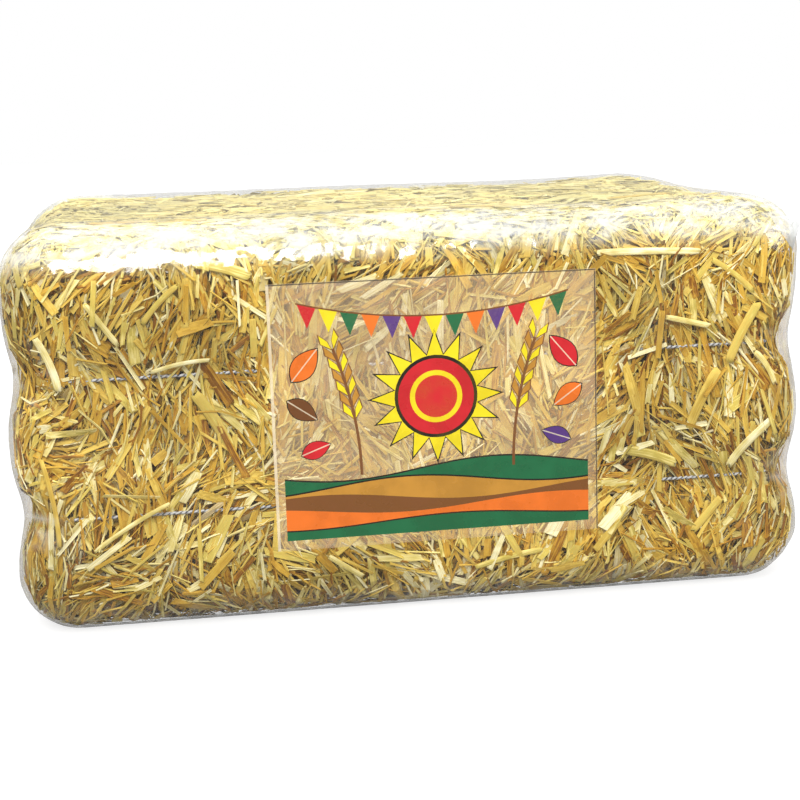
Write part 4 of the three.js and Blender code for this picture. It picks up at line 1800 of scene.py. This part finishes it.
@dataclass
class Studio:
    """The camera at the photograph's viewing angle, a pale floor and soft lights."""

    lens: float = 72.0
    sensor: float = 36.0
    yaw: float = math.radians(8.09)
    pitch: float = math.radians(11.0)
    roll: float = math.radians(1.95)
    distance: float = 0.9248
    target: tuple[float, float, float] = (0.0089, 0.0, 0.0838)
    floor_half: float = 6.0
    floor_tone: float = 0.26
    floor_rough: float = 0.8
    floor_glow: tuple[float, float] = (0.78, 1.0)
    glow_span: tuple[float, float] = (0.35, 1.6)

    # How bright the white surround is as a light, and as the camera sees it
    surround: tuple[float, float] = (0.58, 1.0)

    def build(self) -> None:
        """Makes the camera, the floor, the lights and the surround."""
        self._camera()
        self._floor()
        for light in LIGHTS:
            self._light(light)
        self._world()

    def _camera(self) -> None:
        """Places the camera."""
        data = bpy.data.cameras.new("camera")
        data.lens = self.lens
        data.sensor_width = self.sensor
        data.clip_start = 0.01
        camera = bpy.data.objects.new("camera", data)
        bpy.context.scene.collection.objects.link(camera)
        back = Vector((0, -math.cos(self.pitch), math.sin(self.pitch)))
        back.rotate(Euler((0, 0, -self.yaw)))
        camera.location = Vector(self.target) + back * self.distance
        aim = (-back).to_track_quat("-Z", "Y")
        camera.rotation_mode = "QUATERNION"
        camera.rotation_quaternion = aim @ Matrix.Rotation(-self.roll, 3, "Z").to_quaternion()
        bpy.context.scene.camera = camera
        bpy.context.scene.view_settings.view_transform = "Standard"

    def _floor(self) -> None:
        """A plain pale floor, which glows towards white where it is far away."""
        material, graph, shader = new_material("pale_floor")
        shader.inputs["Base Color"].default_value = (*[self.floor_tone] * 3, 1)
        shader.inputs["Roughness"].default_value = self.floor_rough
        shader.inputs["Emission Color"].default_value = (1, 1, 1, 1)
        seen = graph.add("ShaderNodeLightPath").outputs["Is Camera Ray"]
        away = graph.add("ShaderNodeVectorMath", {0: graph.place()}, operation="LENGTH")
        glow = graph.map_range(away.outputs["Value"], *self.glow_span, *self.floor_glow)
        graph.feed(shader.inputs["Emission Strength"], graph.math("MULTIPLY", seen, glow))
        half = self.floor_half
        floor = make_object("floor", [(-half, -half, 0), (half, -half, 0), (half, half, 0),
                                      (-half, half, 0)], [[0, 1, 2, 3]], [material])

    @staticmethod
    def _light(soft: SoftLight) -> None:
        """Hangs an area light.

        Args:
            soft: which light it is.
        """
        data = bpy.data.lights.new(soft.name, "AREA")
        data.shape = "RECTANGLE"
        data.size, data.size_y = soft.size
        data.energy = soft.power
        light = bpy.data.objects.new(soft.name, data)
        light.location = soft.place
        light.rotation_mode = "QUATERNION"
        light.rotation_quaternion = (Vector(soft.aim) - Vector(soft.place)).to_track_quat("-Z", "Y")
        bpy.context.scene.collection.objects.link(light)

    def _world(self) -> None:
        """An even white surround."""
        world = bpy.data.worlds.new("white_surround")
        bpy.context.scene.world = world
        world.use_nodes = True
        graph = Graph(world.node_tree)
        seen = graph.add("ShaderNodeLightPath").outputs["Is Camera Ray"]
        background = world.node_tree.nodes["Background"]
        background.inputs["Color"].default_value = (1, 1, 1, 1)
        graph.feed(background.inputs["Strength"], graph.map_range(seen, 0.0, 1.0, *self.surround))


def main() -> None:
    """Builds the bale on its frame, piece by piece, and notes its size."""
    logging.basicConfig(level=logging.INFO, format="%(name)s: %(message)s")
    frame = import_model()
    form = BaleForm()
    Studio().build()
    mass = StrawMass(form).build()
    LOG.info("straw mass: %d pieces", len(mass))
    names = sorted(name for name in frame["nodes"] if name.startswith("stalk_"))
    stalks = LooseStalks(form, names).build()
    LOG.info("loose stalks: %d", len(stalks))
    ties = Ties(form).build()
    LOG.info("ties: %d", len(ties))
    LOG.info("film: %s", ShrinkFilm(form).build().name)
    LOG.info("label: %s", Label().build().name)


if __name__ == "__main__":
    main()
